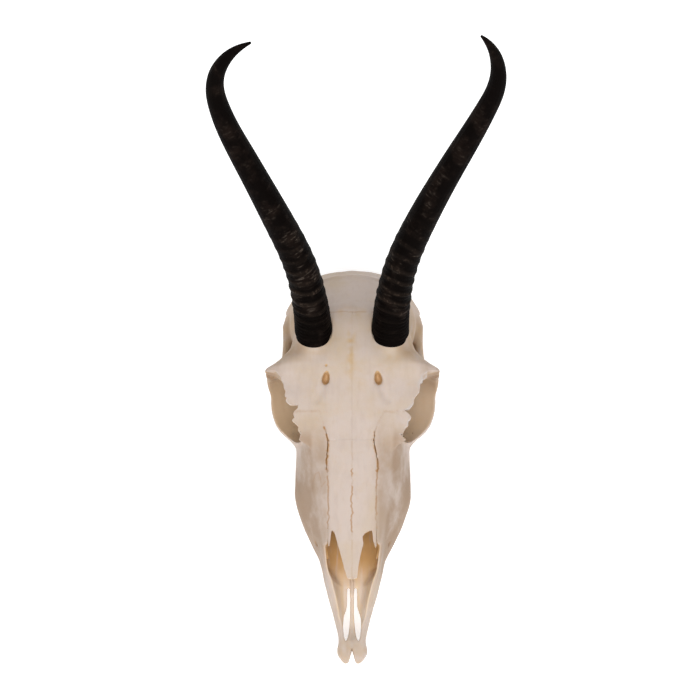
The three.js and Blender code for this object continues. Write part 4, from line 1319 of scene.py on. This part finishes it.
def boneMaterial():
    # pale bone, then each layer over the last: patches, stains, painted shade in the hollows and on the
    # flanks, the inside of the nose lightened and glowing orange as painted light, broken rims and seams
    material, tree, shader = newMaterial("cleanedBone")
    tone = placeGroup(tree, mottle, {"Patch": 42.0, "Fine": 1500.0})
    seamPlace = {"Distance": attributeOf(tree, "seam"), "Strength": attributeOf(tree, "seamStrength")}
    ink = placeGroup(tree, seamInk, {"Width": boneFinish["seamWidth"], **seamPlace})
    shade = attributeOf(tree, "recessShade")
    # the nose's inner faces lightened past the bone's own colour as painted light, with warm streaks
    streaks = times(tree, ramp(tree, tone["Streak"], 0.40, 0.66), 0.75)
    inner = mixColour(tree, streaks, boneFinish["inner"], boneFinish["innerPaintedLightWarm"])
    layers = [
        (ramp(tree, tone["Tone"], 0.38, 0.70), boneFinish["warm"]),
        (times(tree, ramp(tree, tone["Streak"], 0.45, 0.75), 0.35), boneFinish["rosy"]),
        (times(tree, tone["Spots"], 0.16), boneFinish["stain"]),
        (times(tree, attributeOf(tree, "stain"), 0.8), boneFinish["stain"]),
        # painted shade in the hollows and holes
        (ramp(tree, shade, 0.0, 0.5), boneFinish["hollowShade"]),
        (ramp(tree, shade, 0.5, 0.95), boneFinish["recessShade"]),
        # painted shade on the flanks and under the brow
        (times(tree, attributeOf(tree, "flank"), ramp(tree, tone["Tone"], 0.2, 0.6)), boneFinish["flank"]),
        # painted light: the nose's inner faces lightened, then glowing orange deeper in
        (attributeOf(tree, "inner"), inner),
        (times(tree, attributeOf(tree, "nose"), ramp(tree, tone["Streak"], 0.2, 0.52)), boneFinish["nose"]),
        (times(tree, attributeOf(tree, "broken"), ramp(tree, tone["Pores"], 0.2, 0.55), True),
         boneFinish["broken"]),
        (ink["Mask"], boneFinish["seam"]),
    ]
    colour = boneFinish["pale"]
    for share, over in layers:
        colour = mixColour(tree, share, colour, over)
    rough = addNode(tree, "ShaderNodeMapRange")
    smoothest, roughest = boneFinish["roughness"]
    feedAll(tree, rough, {"Value": tone["Pores"], "From Min": 0.3, "From Max": 0.7,
                          "To Min": smoothest, "To Max": roughest})
    height = plus(tree, times(tree, tone["Pores"], 0.5), times(tree, tone["Streak"], 0.8))
    height = maths(tree, "SUBTRACT", height, times(tree, ink["Mask"], 0.9))
    addBump(tree, shader, height, *boneFinish["bump"])
    feedAll(tree, shader, {"Base Color": colour, "Roughness": rough.outputs["Result"],
                           "Specular IOR Level": 0.35, "Subsurface Weight": 0.12,
                           "Subsurface Radius": (1.0, 0.6, 0.4), "Subsurface Scale": 0.0015})
    return material


hornFinish = {
    "black": (0.0024, 0.0014, 0.0011, 1),
    "brown": (0.0085, 0.0050, 0.0037, 1),
    # painted highlight on the ring crests
    "crestHighlight": (0.045, 0.031, 0.023, 1),
    "scuff": (0.13, 0.104, 0.084, 1),
    "bump": (0.5, 0.0004),
}


def hornMaterial():
    # black sheath, browner in patches and along its fibres, with a painted highlight on the ring crests, and
    # paler where it is worn
    material, tree, shader = newMaterial("hornSheath")
    along = addNode(tree, "ShaderNodeUVMap", uv_map="hornMap").outputs["UV"]
    tone = placeGroup(tree, mottle, {"Patch": 90.0, "Fine": 1800.0})
    fibre = noiseOf(tree, mapped(tree, along, (26.0, 0.010, 1.0)), 6.0, 4.0, 0.65)
    worn = noiseOf(tree, mapped(tree, along, (1.7, 0.24, 1.0)), 2.6, 5.0, 0.65)
    patches = times(tree, attributeOf(tree, "scuff"), ramp(tree, tone["Tone"], 0.50, 0.66))
    worn = times(tree, ramp(tree, worn, 0.50, 0.70), patches)
    layers = [
        (ramp(tree, tone["Tone"], 0.46, 0.72), "brown"),
        (times(tree, ramp(tree, fibre, 0.55, 0.8), 0.4), "brown"),
        # painted highlight on the ring crests
        (times(tree, attributeOf(tree, "crestHighlight"), ramp(tree, tone["Spots"], -0.3, 0.7)), "crestHighlight"),
        (times(tree, worn, 0.5), "scuff"),
    ]
    colour = hornFinish["black"]
    for share, name in layers:
        colour = mixColour(tree, share, colour, hornFinish[name])
    rough = plus(tree, 0.46, times(tree, tone["Pores"], 0.28))
    rough = plus(tree, rough, times(tree, worn, 0.15), True)
    height = plus(tree, times(tree, fibre, 0.8), times(tree, tone["Pores"], 0.35))
    addBump(tree, shader, height, *hornFinish["bump"])
    feedAll(tree, shader, {"Base Color": colour, "Roughness": rough, "Specular IOR Level": 0.02})
    return material


toothFinish = {
    "enamel": (0.60, 0.515, 0.40, 1),
    "tartar": (0.13, 0.075, 0.035, 1),
    "dentine": (0.38, 0.245, 0.12, 1),
    "bump": (0.3, 0.0002),
}


def toothMaterial():
    # enamel under a patchy dark film, with dentine bared on the worn faces
    material, tree, shader = newMaterial("toothEnamel")
    tone = placeGroup(tree, mottle, {"Patch": 110.0, "Fine": 1600.0})
    film = times(tree, ramp(tree, tone["Tone"], 0.42, 0.62), attributeOf(tree, "film"))
    colour = mixColour(tree, film, toothFinish["enamel"], toothFinish["tartar"])
    colour = mixColour(tree, attributeOf(tree, "dentine"), colour, toothFinish["dentine"])
    rough = plus(tree, 0.22, times(tree, tone["Pores"], 0.35))
    addBump(tree, shader, tone["Spots"], *toothFinish["bump"])
    feedAll(tree, shader, {"Base Color": colour, "Roughness": rough})
    return material


cleanedBone = boneMaterial()
hornSheath = hornMaterial()
toothEnamel = toothMaterial()
print("materials made")

# what shades the hollows: the bone and the free ends of the nasals together
block, x, s, z = window(axes, (-14, 36, 28), (14, 62, 60))
shelter = bone.copy()
shelter[block] = np.minimum(shelter[block], np.maximum(nasalBone[block], nasalRegion(x, s, z)))


def lineDistance(x, s, places):
    # distance in plan to a line of corners
    line = np.array(places, float)
    best = np.full(len(x), 9.0)
    for a, b in zip(line[:-1], line[1:]):
        step = b - a
        t = np.clip(((x - a[0]) * step[0] + (s - a[1]) * step[1]) / (step @ step), 0, 1)
        best = np.minimum(best, np.hypot(x - a[0] - t * step[0], s - a[1] - t * step[1]))
    return best


def ease(value, low, high):
    u = np.clip((value - low) / (high - low), 0, 1)
    return u * u * (3 - 2 * u)


def between(value, places):
    # eases up between the first two places and down again between the last two
    return ease(value, *places[:2]) * (1 - ease(value, *places[2:]))


speckles = {  # seed, pitch, mean and swing of the noise that breaks up each stain
    "brow": (91, 2.0, 0.5, 1.2),
    "crown": (92, 3.1, 0.4, 1.0),
    "broken": (93, 3.0, 0.2, 1.6),
    "hornFoot": (94, 2.4, 0.6, 1.0),
    "temple": (95, 4.0, 0.6, 0.9),
    "snoutTip": (96, 2.2, 0.6, 1.0),
}


def speckle(points, name):
    seed, pitch, mean, swing = speckles[name]
    return np.clip(mean + swing * grain(points, pitch, seed), 0, 1)


# how strong the painted shade is in each kind of hollow
hollowShades = {
    "reaches": (2.5, 5, 9, 14),  # how far out from the bone shelter is felt
    "closed": 0.3,
    "closedFrom": (0.25, 0.85),
    "sockets": (0.36, 0.5),  # the left and the right eye socket
    "bar": 0.6,
    "shafts": 0.88,
    "small": 0.9,
}
barShade = {
    "facing": (0.1, 0.4),
    "aside": (31, 36),
    "along": (123, 129, 141, 144),
    "height": (42, 58),
    "underRoof": (0.6, 1.4),
    "share": 0.7,
}
cornerShade = {
    "aside": (35, 37.5),
    "along": (134, 136, 138.6, 139.4),
    "height": (60, 66, 73.2, 74.6),
    "share": 1.6,
}


def underBrowShade(points, normal):
    # painted shade on the front of the bar behind the eye socket, darkest right under the forehead's corner
    x, s, z = points.T
    bar = ease(-normal[:, 1], *barShade["facing"]) * ease(np.abs(x), *barShade["aside"])
    bar = bar * between(s, barShade["along"]) * ease(z, *barShade["height"])
    bar = bar * ease(browTop(x, s) - z, *barShade["underRoof"])
    corner = ease(np.abs(x), *cornerShade["aside"]) * between(s, cornerShade["along"])
    corner = corner * between(z, cornerShade["height"])
    return np.maximum(barShade["share"] * bar, cornerShade["share"] * corner)


def hollowShadeMarks(points, normal):
    # painted shade, tan: in the eye sockets, deeper in the small holes, faint in other hollows
    x, s, z = points.T
    shut = [np.clip(1 - sampleField(shelter, points + normal * reach)[0] / reach, 0, 1)
            for reach in hollowShades["reaches"]]
    closed = ease(np.mean(shut, axis=0), *hollowShades["closedFrom"])
    socket = np.where(x > 0, *hollowShades["sockets"]) * (1 - ease(orbitHollow(np.abs(x), s, z), 0.12, 0.5))
    shafts = 1 - ease(np.minimum(browHole(1, x, s, z), browHole(-1, x, s, z)), 0.15, 0.45)
    small = np.minimum(ellipsoid(*cheekHole)(np.abs(x), s, z), ellipsoid(*browHoles["pit"])(x, s, z))
    return np.max([hollowShades["closed"] * closed, socket, hollowShades["bar"] * underBrowShade(points, normal),
                   hollowShades["shafts"] * shafts, hollowShades["small"] * (1 - ease(small, 0.1, 0.5))], axis=0)


# where the inside of the nose is lightened and glows orange, as painted light
noseShade = {
    "skin": (0.2, 0.9),
    "from": 11,
    "over": 12,
    "deep": (37, 57),
    "open": 60,
    "below": 9,
    "least": 0.4,
}


def noseLightMarks(points):
    # the inner faces of the nose, lightened as painted light, and how deep they lie, for a painted orange
    # glow: nil at the snout, full well behind it
    s, z = points.T[1:]
    inner = 1 - ease(sampleField(air, points)[0], *noseShade["skin"])
    inner = inner * np.clip((s - noseShade["from"]) / noseShade["over"], 0, 1)
    below = (track(noseOpening["rim"])(s) - z) / noseShade["below"]
    below = np.where(s < noseShade["open"], below, 1)
    return inner, inner * ease(s, *noseShade["deep"]) * np.clip(below, noseShade["least"], 1)


veinLine = [[-20.6, 85.4], [-19.2, 88.2], [-17.4, 88.2], [-16.5, 84.9], [-16, 81], [-14, 82.6]]
tearLine = [[16.8, 115.4], [30, 116.4]]
topDepth = 13  # how far under the roof a place still counts as its top
farAway = 5.0  # distance to a seam that leaves no stain


def seamMarks(points, top):
    # distance to the nearest stained seam that shows from above, and how strong its stain is
    x, s, z = points.T
    beside = np.abs(x)
    middle = np.abs(x - midline(s))
    edge = np.abs(beside - nasalEdge(x, s))
    tongue = np.abs(beside - foreheadEdge(x, s))
    tear = lineDistance(beside, s - seams["browJag"] * jagFore(x), tearLine)
    crown = np.abs(s - crownSeam(x, z))
    gaping = s > 87  # the open crack beside the back of the nasals
    lines = [  # distance over width, where the seam runs, strength
        (middle / 1.5, (s > 37) & (s < 101), np.where((s > 58) & (s < 88), 0.75, 0.22)),
        (middle, (s >= 101) & (s < 166), 0.10),
        (edge / np.where(gaping, 2.1, 1.4), (s > 60) & (s < 102), np.where(gaping, 1.0, 0.6)),
        (tongue / 1.9, (s >= 101) & (s < 115), np.where(s < 108.4, 1.0, 0.10)),
        (np.abs(nasalBack(x, s)), beside < 11, 0.08),
        (tear / 2.2, True, 0.22),
        (lineDistance(x, s, veinLine), True, 0.3),
        (crown / 1.6, beside < 27, 0.28),
    ]
    seam = np.full(len(x), farAway)
    strength = np.zeros(len(x))
    for away, runs, ink in lines:
        away = np.where(top & runs, away, farAway)
        nearer = away < seam
        seam = np.where(nearer, away, seam)
        strength = np.where(nearer, ink, strength)
    return seam, strength


# where painted shade darkens the cheeks, temples and brow corners
flankShades = {
    "line": [[20, 8], [55, 15], [75, 18.4], [90, 20], [106, 20.6]],
    "from": (30, 60),
    "slope": {"share": 0.64, "aside": (10.5, 15), "until": (94, 118)},
    "side": {"share": 0.43, "past": (-0.4, 1.8), "until": (103, 109)},
    "temple": {"share": 0.6, "aside": (20, 27), "along": (138, 147, 174, 184)},
    "wing": {"share": 0.5, "aside": (33, 40), "from": (130, 136), "above": 66},
}


def templeMask(x, s):
    temple = flankShades["temple"]
    return ease(np.abs(x), *temple["aside"]) * between(s, temple["along"])


def flankShadeMarks(points, normal):
    # painted shade: darker cheeks, temples, brow corners and the bar behind each eye socket
    x, s, z = points.T
    slope, side, wing = flankShades["slope"], flankShades["side"], flankShades["wing"]
    cheek = slope["share"] * ease(np.abs(x), *slope["aside"]) * (1 - ease(s, *slope["until"]))
    past = np.abs(x) - track(flankShades["line"])(s)
    cheek = cheek + side["share"] * ease(past, *side["past"]) * (1 - ease(s, *side["until"]))
    corner = wing["share"] * ease(np.abs(x), *wing["aside"]) * ease(s, *wing["from"]) * (z > wing["above"])
    return np.max([cheek * ease(s, *flankShades["from"]), flankShades["temple"]["share"] * templeMask(x, s), corner,
                   underBrowShade(points, normal)], axis=0)


stains = {
    "brow": {"share": 1.0, "place": (-0.6, 145), "reach": (2, 13)},
    "crown": {"share": 0.5, "place": (0, 167), "reach": (14, 3)},
    "hornFoot": {"share": 0.34, "fade": (0.3, 3)},
    "snoutTip": {"share": 0.36, "fade": (4, 16)},
    "temple": {"share": 0.8},
}


def stainMarks(points, top):
    # tan stains on the forehead and crown, round the horns, at the snout's tip and on the temples
    x, s, z = points.T
    masks = {"temple": templeMask(x, s)}
    for name in ("brow", "crown"):
        (dx, ds), (across, along) = stains[name]["place"], stains[name]["reach"]
        masks[name] = top * np.exp(-((s - ds) / along) ** 2 - ((x - dx) / across) ** 2)
    feet = np.minimum(hornFoot(1, 0.3)(x, s, z)[0], hornFoot(-1, 0.3)(x, s, z)[0])
    masks["hornFoot"] = 1 - ease(feet, *stains["hornFoot"]["fade"])
    masks["snoutTip"] = 1 - ease(s, *stains["snoutTip"]["fade"])
    tans = [stains[name]["share"] * mask * speckle(points, name) for name, mask in masks.items()]
    return np.max(tans, axis=0)


snapped = {
    "along": (103, 137),
    "above": 60,
    "half": 0.9,
    "rightShare": 0.35,
    "chips": [(132.6, 3), (118.6, 1.8)],  # place and reach of the left rim's pale chips
    "chipHalf": 1.6,
    "chipsAbove": 66,
}


def brokenMarks(points):
    # fresh pale bone along the broken rims of the eye sockets' roofs
    x, s, z = points.T
    rim = np.abs(np.where(x > 0, browLine(1, s), browLine(-1, s)) - np.abs(x))
    start, end = snapped["along"]
    shows = (s > start) & (s < end) & (z > snapped["above"])
    broken = np.where(shows, np.clip(1 - rim / snapped["half"], 0, 1), 0)
    broken = broken * speckle(points, "broken") * np.where(x > 0, 1, snapped["rightShare"])
    chips = sum(np.exp(-((s - place) / reach) ** 2) for place, reach in snapped["chips"])
    chips = chips * np.clip(snapped["chipHalf"] - rim, 0, 1) * (x > 0) * (z > snapped["chipsAbove"])
    return np.maximum(broken, chips)


def boneMarks(points, normal):
    # every mark on a bone, as a value at each point, painted shade and painted light among them
    s, z = points.T[1:]
    top = z > np.where(s < 100, snoutRoof(s), browRoof(s)) - topDepth
    seam, strength = seamMarks(points, top)
    inner, depth = noseLightMarks(points)
    return {"recessShade": hollowShadeMarks(points, normal), "seam": seam, "seamStrength": strength,
            "stain": stainMarks(points, top), "broken": brokenMarks(points),
            "flank": flankShadeMarks(points, normal), "inner": inner, "nose": depth}


unevenness = {"share": 0.026, "top": 88, "lowest": 45, "reach": 40}


def unevenSide(points):
    # the animal's right side is a little narrower than its left, most of all low down
    x, s, z = points.T
    drop = np.clip(unevenness["top"] - z, 0, unevenness["lowest"])
    shift = unevenness["share"] * drop * np.clip(-x / unevenness["reach"], 0, 1.1)
    return np.column_stack([x + shift, s, z])


bonePieces = {
    "braincase": ((-48, 124, 3), (48, 210, 92)),
    "cheekbone": ((29, 101, 17), (48, 165, 67)),
    "frontal": ((-1, 98, 37), (48, 168, 92)),
    "maxilla": ((-1, 40, 4), (48, 160, 82)),
    "nasal": ((-1, 36, 28), (15, 103, 76)),
    "premaxilla": ((-1, -2.2, 4), (20, 61, 58)),
}
for name, (low, high) in bonePieces.items():
    names = [name] if name == "braincase" else [name + "_left", name + "_right"]
    for node in names:
        lowest, highest = (low, high)
        if node.endswith("right"):
            lowest, highest = (-high[0],) + low[1:], (-low[0],) + high[1:]
        field = nasalBone if name == "nasal" else bone
        points, quads, normal = cutBone(field, boneRegion(node), lowest, highest)
        piece = addMesh(node + ".bone", unevenSide(points), [quads], cleanedBone, boneMarks(points, normal))
        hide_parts(node)
        print(node, "has", 2 * len(quads), "triangles")

hornSkin = {
    "around": 112,
    "along": 640,
    "crowding": 1.12,  # draws the rows of points towards the foot
    "ringSpacing": [[0, 5.2], [0.2, 6.4], [0.45, 8.5]],
    "ringHeight": 0.9,
    "ringWidth": 0.2,
    "ringLevel": 0.33,
    "ringEnd": 0.43,
    "ringFade": 0.26,
    "ringStart": (0.05, 0.06),  # share where the rings start, and over which they grow
    "ringFront": (0.64, 0.36),  # mean height round the horn, and how much higher in front
    "ringVary": (0.72, 0.36),  # mean height of a ring, and how much rings differ
    "fine": 0.3,
    "finePitch": 2.1,
    "fineEnd": 0.34,
    "fineFade": 0.3,
    "fineFoot": (0.14, 0.06),  # share up to which the fine lines are strongest, and their fade
    "flute": 0.07,
    "square": 0.01,
    "tipFrom": 0.1,
    "lip": (0.985, 0.93),
    "wear": (0.30, 0.16, 0.25),  # where the horn is most worn, over what reach, and the least elsewhere
}


def ringPhase(share, length):
    # growth rings stand further apart up the horn: the phase is the running sum of one over their spacing
    fine = np.linspace(-0.1, 1, 2000)
    rate = length / track(hornSkin["ringSpacing"])(fine)
    phase = np.concatenate([[0], np.cumsum((rate[1:] + rate[:-1]) / 2 * np.diff(fine))])
    return np.interp(share, fine, phase)


def hornSwell(side, share, turn):
    # how far the rings, fine lines and flutes stand out, and where the rings' crests take a painted highlight
    length = horn["length"][side]
    tilt = 0.06 * np.sin(turn + 0.8) + 0.035 * np.sin(2 * turn + 2.1 * side)
    phase = ringPhase(share, length) + tilt * 3 + 0.10 * wave(51 + side, 0.9)(turn * 1.3 + 40 * share)
    i = np.floor(phase)
    mean, swing = hornSkin["ringVary"]
    vary = mean + swing * wave(61 + side, 0.5)(i * 1.7)
    ridge = np.exp(-((phase - i - 0.5) / hornSkin["ringWidth"]) ** 2) - hornSkin["ringLevel"]
    start, over = hornSkin["ringStart"]
    fade = np.clip((hornSkin["ringEnd"] - share) / hornSkin["ringFade"], 0, 1)
    fade = fade * np.clip((share - start) / over, 0.1, 1)
    mean, swing = hornSkin["ringFront"]
    swell = hornSkin["ringHeight"] * ridge * fade * vary * (mean + swing * np.cos(turn - 1.5 * np.pi))
    lines = hornSkin["fine"] * np.sin(2 * np.pi * share * length / hornSkin["finePitch"] + 2 * tilt * 9)
    lines = lines * np.clip((hornSkin["fineEnd"] - share) / hornSkin["fineFade"], 0.05, 1)
    start, over = hornSkin["fineFoot"]
    swell = swell + lines * (0.35 + 0.65 * np.clip((start - share) / over, 0, 1))
    flute = hornSkin["flute"] * wave(71 + side, 0.11)(turn + 0.4 * share) * np.clip((share - 0.3) / 0.2, 0, 1)
    swell = (swell + flute) * np.clip((1 - share) / hornSkin["tipFrom"], 0, 1)
    return swell, np.clip((ridge + 0.1) / 0.6, 0, 1) * fade * vary


def hornSurface(side):
    # oval section carried along the leaning, spreading axis, swelling at each growth ring
    length = horn["length"][side]
    base = np.array(horn["base"][side], float)
    steps = np.linspace(0, 1, 401)
    middle = hornHeading(side, (steps[1:] + steps[:-1]) / 2) * length / (len(steps) - 1)
    line = np.vstack([base, base + np.cumsum(middle, axis=0)])

    def axisAt(share):
        inside = np.stack([np.interp(share, steps, line[:, k]) for k in range(3)], axis=-1)
        return inside + np.minimum(share, 0)[..., None] * length * hornHeading(side, 0.0)

    def surface(share, turn):
        heading = hornHeading(side, np.clip(share, 0, 1))
        lateral = np.array([1.0, 0, 0]) - heading[..., :1] * heading
        lateral /= np.linalg.norm(lateral, axis=-1, keepdims=True)
        normal = np.cross(heading, lateral)
        swell, crestHighlight = hornSwell(side, share, turn)
        half = track(horn["width"])(share) / 2 + swell
        square = 1 - hornSkin["square"] * np.cos(4 * turn) * np.clip((0.2 - share) / 0.2, 0, 1)
        depth = track(horn["depthShare"])(share)
        oval = np.cos(turn)[..., None] * lateral + (depth * np.sin(turn))[..., None] * normal
        return axisAt(share) + half[..., None] * square[..., None] * oval, crestHighlight

    # the foot follows the slanting seat: each column starts where it meets the seat's plane
    angle = np.linspace(0, 2 * np.pi, hornSkin["around"], endpoint=False)
    start = np.full(len(angle), 0.0)
    level = base + seatNormal * (horn["seatLift"] + 0.15)
    fall = hornHeading(side, 0.0) @ seatNormal * length
    for again in range(4):
        start = start - ((surface(start, angle)[0] - level) @ seatNormal) / fall
    v = np.linspace(0, 1, hornSkin["along"])
    turn = np.broadcast_to(angle[None, :], (len(v), len(angle)))
    share = start[None, :] + (1 - start[None, :]) * (v[:, None] ** hornSkin["crowding"])
    points, crestHighlight = surface(share, turn)
    return points, share, turn, crestHighlight


def closeGrid(rows, columns):
    # quads of a tube of rows, with a fan of triangles to one more point at each end
    i = np.arange(rows - 1)[:, None] * columns
    j = np.arange(columns)[None, :]
    k = (j + 1) % columns
    quads = np.stack([i + j, i + k, i + columns + k, i + columns + j], axis=-1).reshape(-1, 4)
    last = (rows - 1) * columns
    foot = np.stack([k[0], j[0], np.full(columns, rows * columns)], axis=1)
    head = np.stack([last + j[0], last + k[0], np.full(columns, rows * columns + 1)], axis=1)
    return [quads, np.vstack([foot, head])]


for side, name in ((1, "left"), (-1, "right")):
    points, share, turn, crestHighlight = hornSurface(side)
    rows, columns = share.shape
    centre = points[0].mean(axis=0)
    lip = centre + (points[0] - centre) * np.array(hornSkin["lip"])[:, None, None]
    points = np.concatenate([lip[::-1], points])
    share, turn, crestHighlight = (np.concatenate([a[:1], a[:1], a]).ravel() for a in (share, turn, crestHighlight))
    tip = points[-1].mean(axis=0) + hornHeading(side, 1.0) * 0.5
    whole = np.vstack([points.reshape(-1, 3), centre, tip])
    place, reach, least = hornSkin["wear"]
    worn = np.exp(-((share - place) / reach) ** 2) + least
    around = np.abs(2 * (turn / (2 * np.pi)) - 1)
    uv = np.column_stack([np.append(around, [0.5, 0.5]), np.append(share, [0, 1]) * horn["length"][side]])
    faces = closeGrid(rows + 2, columns)
    marks = {"scuff": np.append(worn, [0, 0]), "crestHighlight": np.append(crestHighlight, [0, 0])}
    piece = addMesh("horn_" + name + ".sheath", whole, faces, hornSheath, marks, uv, crease=80)
    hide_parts("horn_" + name)
print("horns made")

teeth = {
    "start": 64,
    "lengths": [6, 7, 7.6, 11.2, 13, 13.4],
    "gap": 0.3,
    "widths": [5.6, 7.2, 8.6, 10.6, 11.4, 10.4],
    "rowOffset": [[64, 15.8], [72, 19], [80, 21.6], [95, 24], [122, 23.4]],
    "firstMolar": 3,
    "crown": 15.5,
    "corner": 0.7,
    "waist": 0.2,
    "ribs": 0.05,
    "dip": 0.9,
    "ridge": 0.35,
    "edge": 0.4,
    "around": 72,
    "faceRows": 7,
    "sideRows": 15,
}


def squared(value):
    # a circle's sine or cosine drawn out towards an oblong
    return np.sign(value) * np.abs(value) ** teeth["corner"]


def toothSurface(index, station, side):
    # oblong outline with ribs on the cheek side, drawn up from the worn face, which dips into crescents
    length = teeth["lengths"][index] - teeth["gap"]
    width = teeth["widths"][index]
    middle = track(teeth["rowOffset"])(station)
    face, sides = teeth["faceRows"], teeth["sideRows"]
    turn = np.linspace(0, 2 * np.pi, teeth["around"], endpoint=False)[None, :]
    rise = np.concatenate([np.zeros(face), np.linspace(0, 1, sides)])[:, None]
    inward = np.concatenate([np.linspace(0.12, 0.97, face), np.ones(sides)])[:, None]
    along, across = squared(np.cos(turn)), squared(np.sin(turn))
    molar = index >= teeth["firstMolar"]
    lobes = 2 if molar else 1
    pinch = 1 - (teeth["waist"] if molar else 0) * np.exp(-(along / 0.22) ** 2)
    ribs = teeth["ribs"] * np.cos(np.pi * 2 * lobes * along) * np.clip(across, 0, 1)
    swell = 0.9 + 0.1 * np.sin(np.pi * np.clip(rise * 1.2, 0, 1) ** 0.6)
    x = (width / 2) * across * (pinch + ribs) * swell * inward
    y = (length / 2) * along * (0.94 + 0.06 * swell) * inward
    crescent = np.cos(np.pi * lobes * y / length + (np.pi / 2 if molar else 0)) ** 2
    dip = teeth["dip"] * crescent * np.exp(-(x / (0.28 * width)) ** 2)
    ridge = teeth["ridge"] * np.cos(np.pi * (inward - 0.9) / 0.2)
    worn = np.clip(dip - ridge + teeth["edge"], 0, 2)
    z = placing["floor"] + np.where(rise > 0, teeth["edge"] + rise * teeth["crown"], worn)
    place = np.stack([side * (middle + x), station + y, z + 0 * x], axis=-1)
    film = np.clip(rise * 2.2 - 0.1, 0, 1) * (1 - np.clip((rise - 0.55) / 0.2, 0, 1)) + 0 * turn
    dentine = np.where(rise > 0, 0, np.clip(1 - np.abs(inward - 0.55) / 0.3, 0, 1) * 0.7) + 0 * turn
    return place, film, dentine


for side, name in ((1, "left"), (-1, "right")):
    station = teeth["start"]
    points, faces, films, dentines = [], [], [], []
    for index, length in enumerate(teeth["lengths"]):
        place, film, dentine = toothSurface(index, station + length / 2, side)
        station += length
        rows, columns = film.shape
        shift = sum(len(p) for p in points)
        ends = np.vstack([place[0].mean(axis=0), place[-1].mean(axis=0)])
        points.append(np.vstack([place.reshape(-1, 3), ends]))
        faces += [shift + group[:, ::side] for group in closeGrid(rows, columns)]
        films.append(np.append(film.ravel(), [0, 0]))
        dentines.append(np.append(dentine.ravel(), [0.7, 0]))
    marks = {"film": np.concatenate(films), "dentine": np.concatenate(dentines)}
    piece = addMesh("teeth_" + name, unevenSide(np.vstack(points)), faces, toothEnamel, marks, crease=60)
print("teeth made")

# plain pale floor lit a little from below like a light table, and large soft lamps
studio = {
    "floor": (0.95, 0.95, 0.95, 1),
    "floorGlow": 0.4,
    "sky": (1.0, 1.0, 1.0, 1),
    "skyStrength": 0.5,
    "floorSize": 6.0,
    "lamps": [  # name, place, aim, size and power
        ("frontLamp", (0.0, -2.2, 2.6), (0.0, 0.1, 0.05), 2.2, 94.0),
        ("leftLamp", (-2.2, -0.3, 2.0), (0.0, 0.1, 0.05), 1.6, 4.5),
        ("rightLamp", (2.2, -0.2, 2.0), (0.0, 0.1, 0.05), 1.6, 6.0),
        ("backLamp", (0.0, 2.4, 2.0), (0.0, 0.1, 0.05), 1.8, 14.0),
    ],
}


def addFloor():
    mesh = bpy.data.meshes.new("studioFloor")
    size = studio["floorSize"]
    corners = [(-size, -size, 0), (size, -size, 0), (size, size, 0), (-size, size, 0)]
    mesh.from_pydata(corners, [], [(0, 1, 2, 3)])
    material, tree, shader = newMaterial("studioPaper")
    feedAll(tree, shader, {"Base Color": studio["floor"], "Roughness": 0.9,
                           "Emission Color": studio["floor"], "Emission Strength": studio["floorGlow"]})
    mesh.materials.append(material)
    floor = bpy.data.objects.new("studioFloor", mesh)
    bpy.context.scene.collection.objects.link(floor)


def addLamps():
    for name, place, aim, size, power in studio["lamps"]:
        data = bpy.data.lights.new(name, "AREA")
        data.shape = "SQUARE"
        data.size = size
        data.energy = power
        lamp = bpy.data.objects.new(name, data)
        bpy.context.scene.collection.objects.link(lamp)
        away = np.array(aim) - np.array(place)
        flatReach = math.hypot(away[0], away[1])
        lamp.location = place
        lamp.rotation_euler = (math.atan2(flatReach, -away[2]), 0, math.atan2(-away[0], away[1]))
    world = bpy.data.worlds.new("studioSky")
    world.use_nodes = True
    sky = world.node_tree.nodes["Background"]
    sky.inputs["Color"].default_value = studio["sky"]
    sky.inputs["Strength"].default_value = studio["skyStrength"]
    bpy.context.scene.world = world
    bpy.context.scene.view_settings.view_transform = "Standard"


addFloor()
addLamps()
print("studio set")
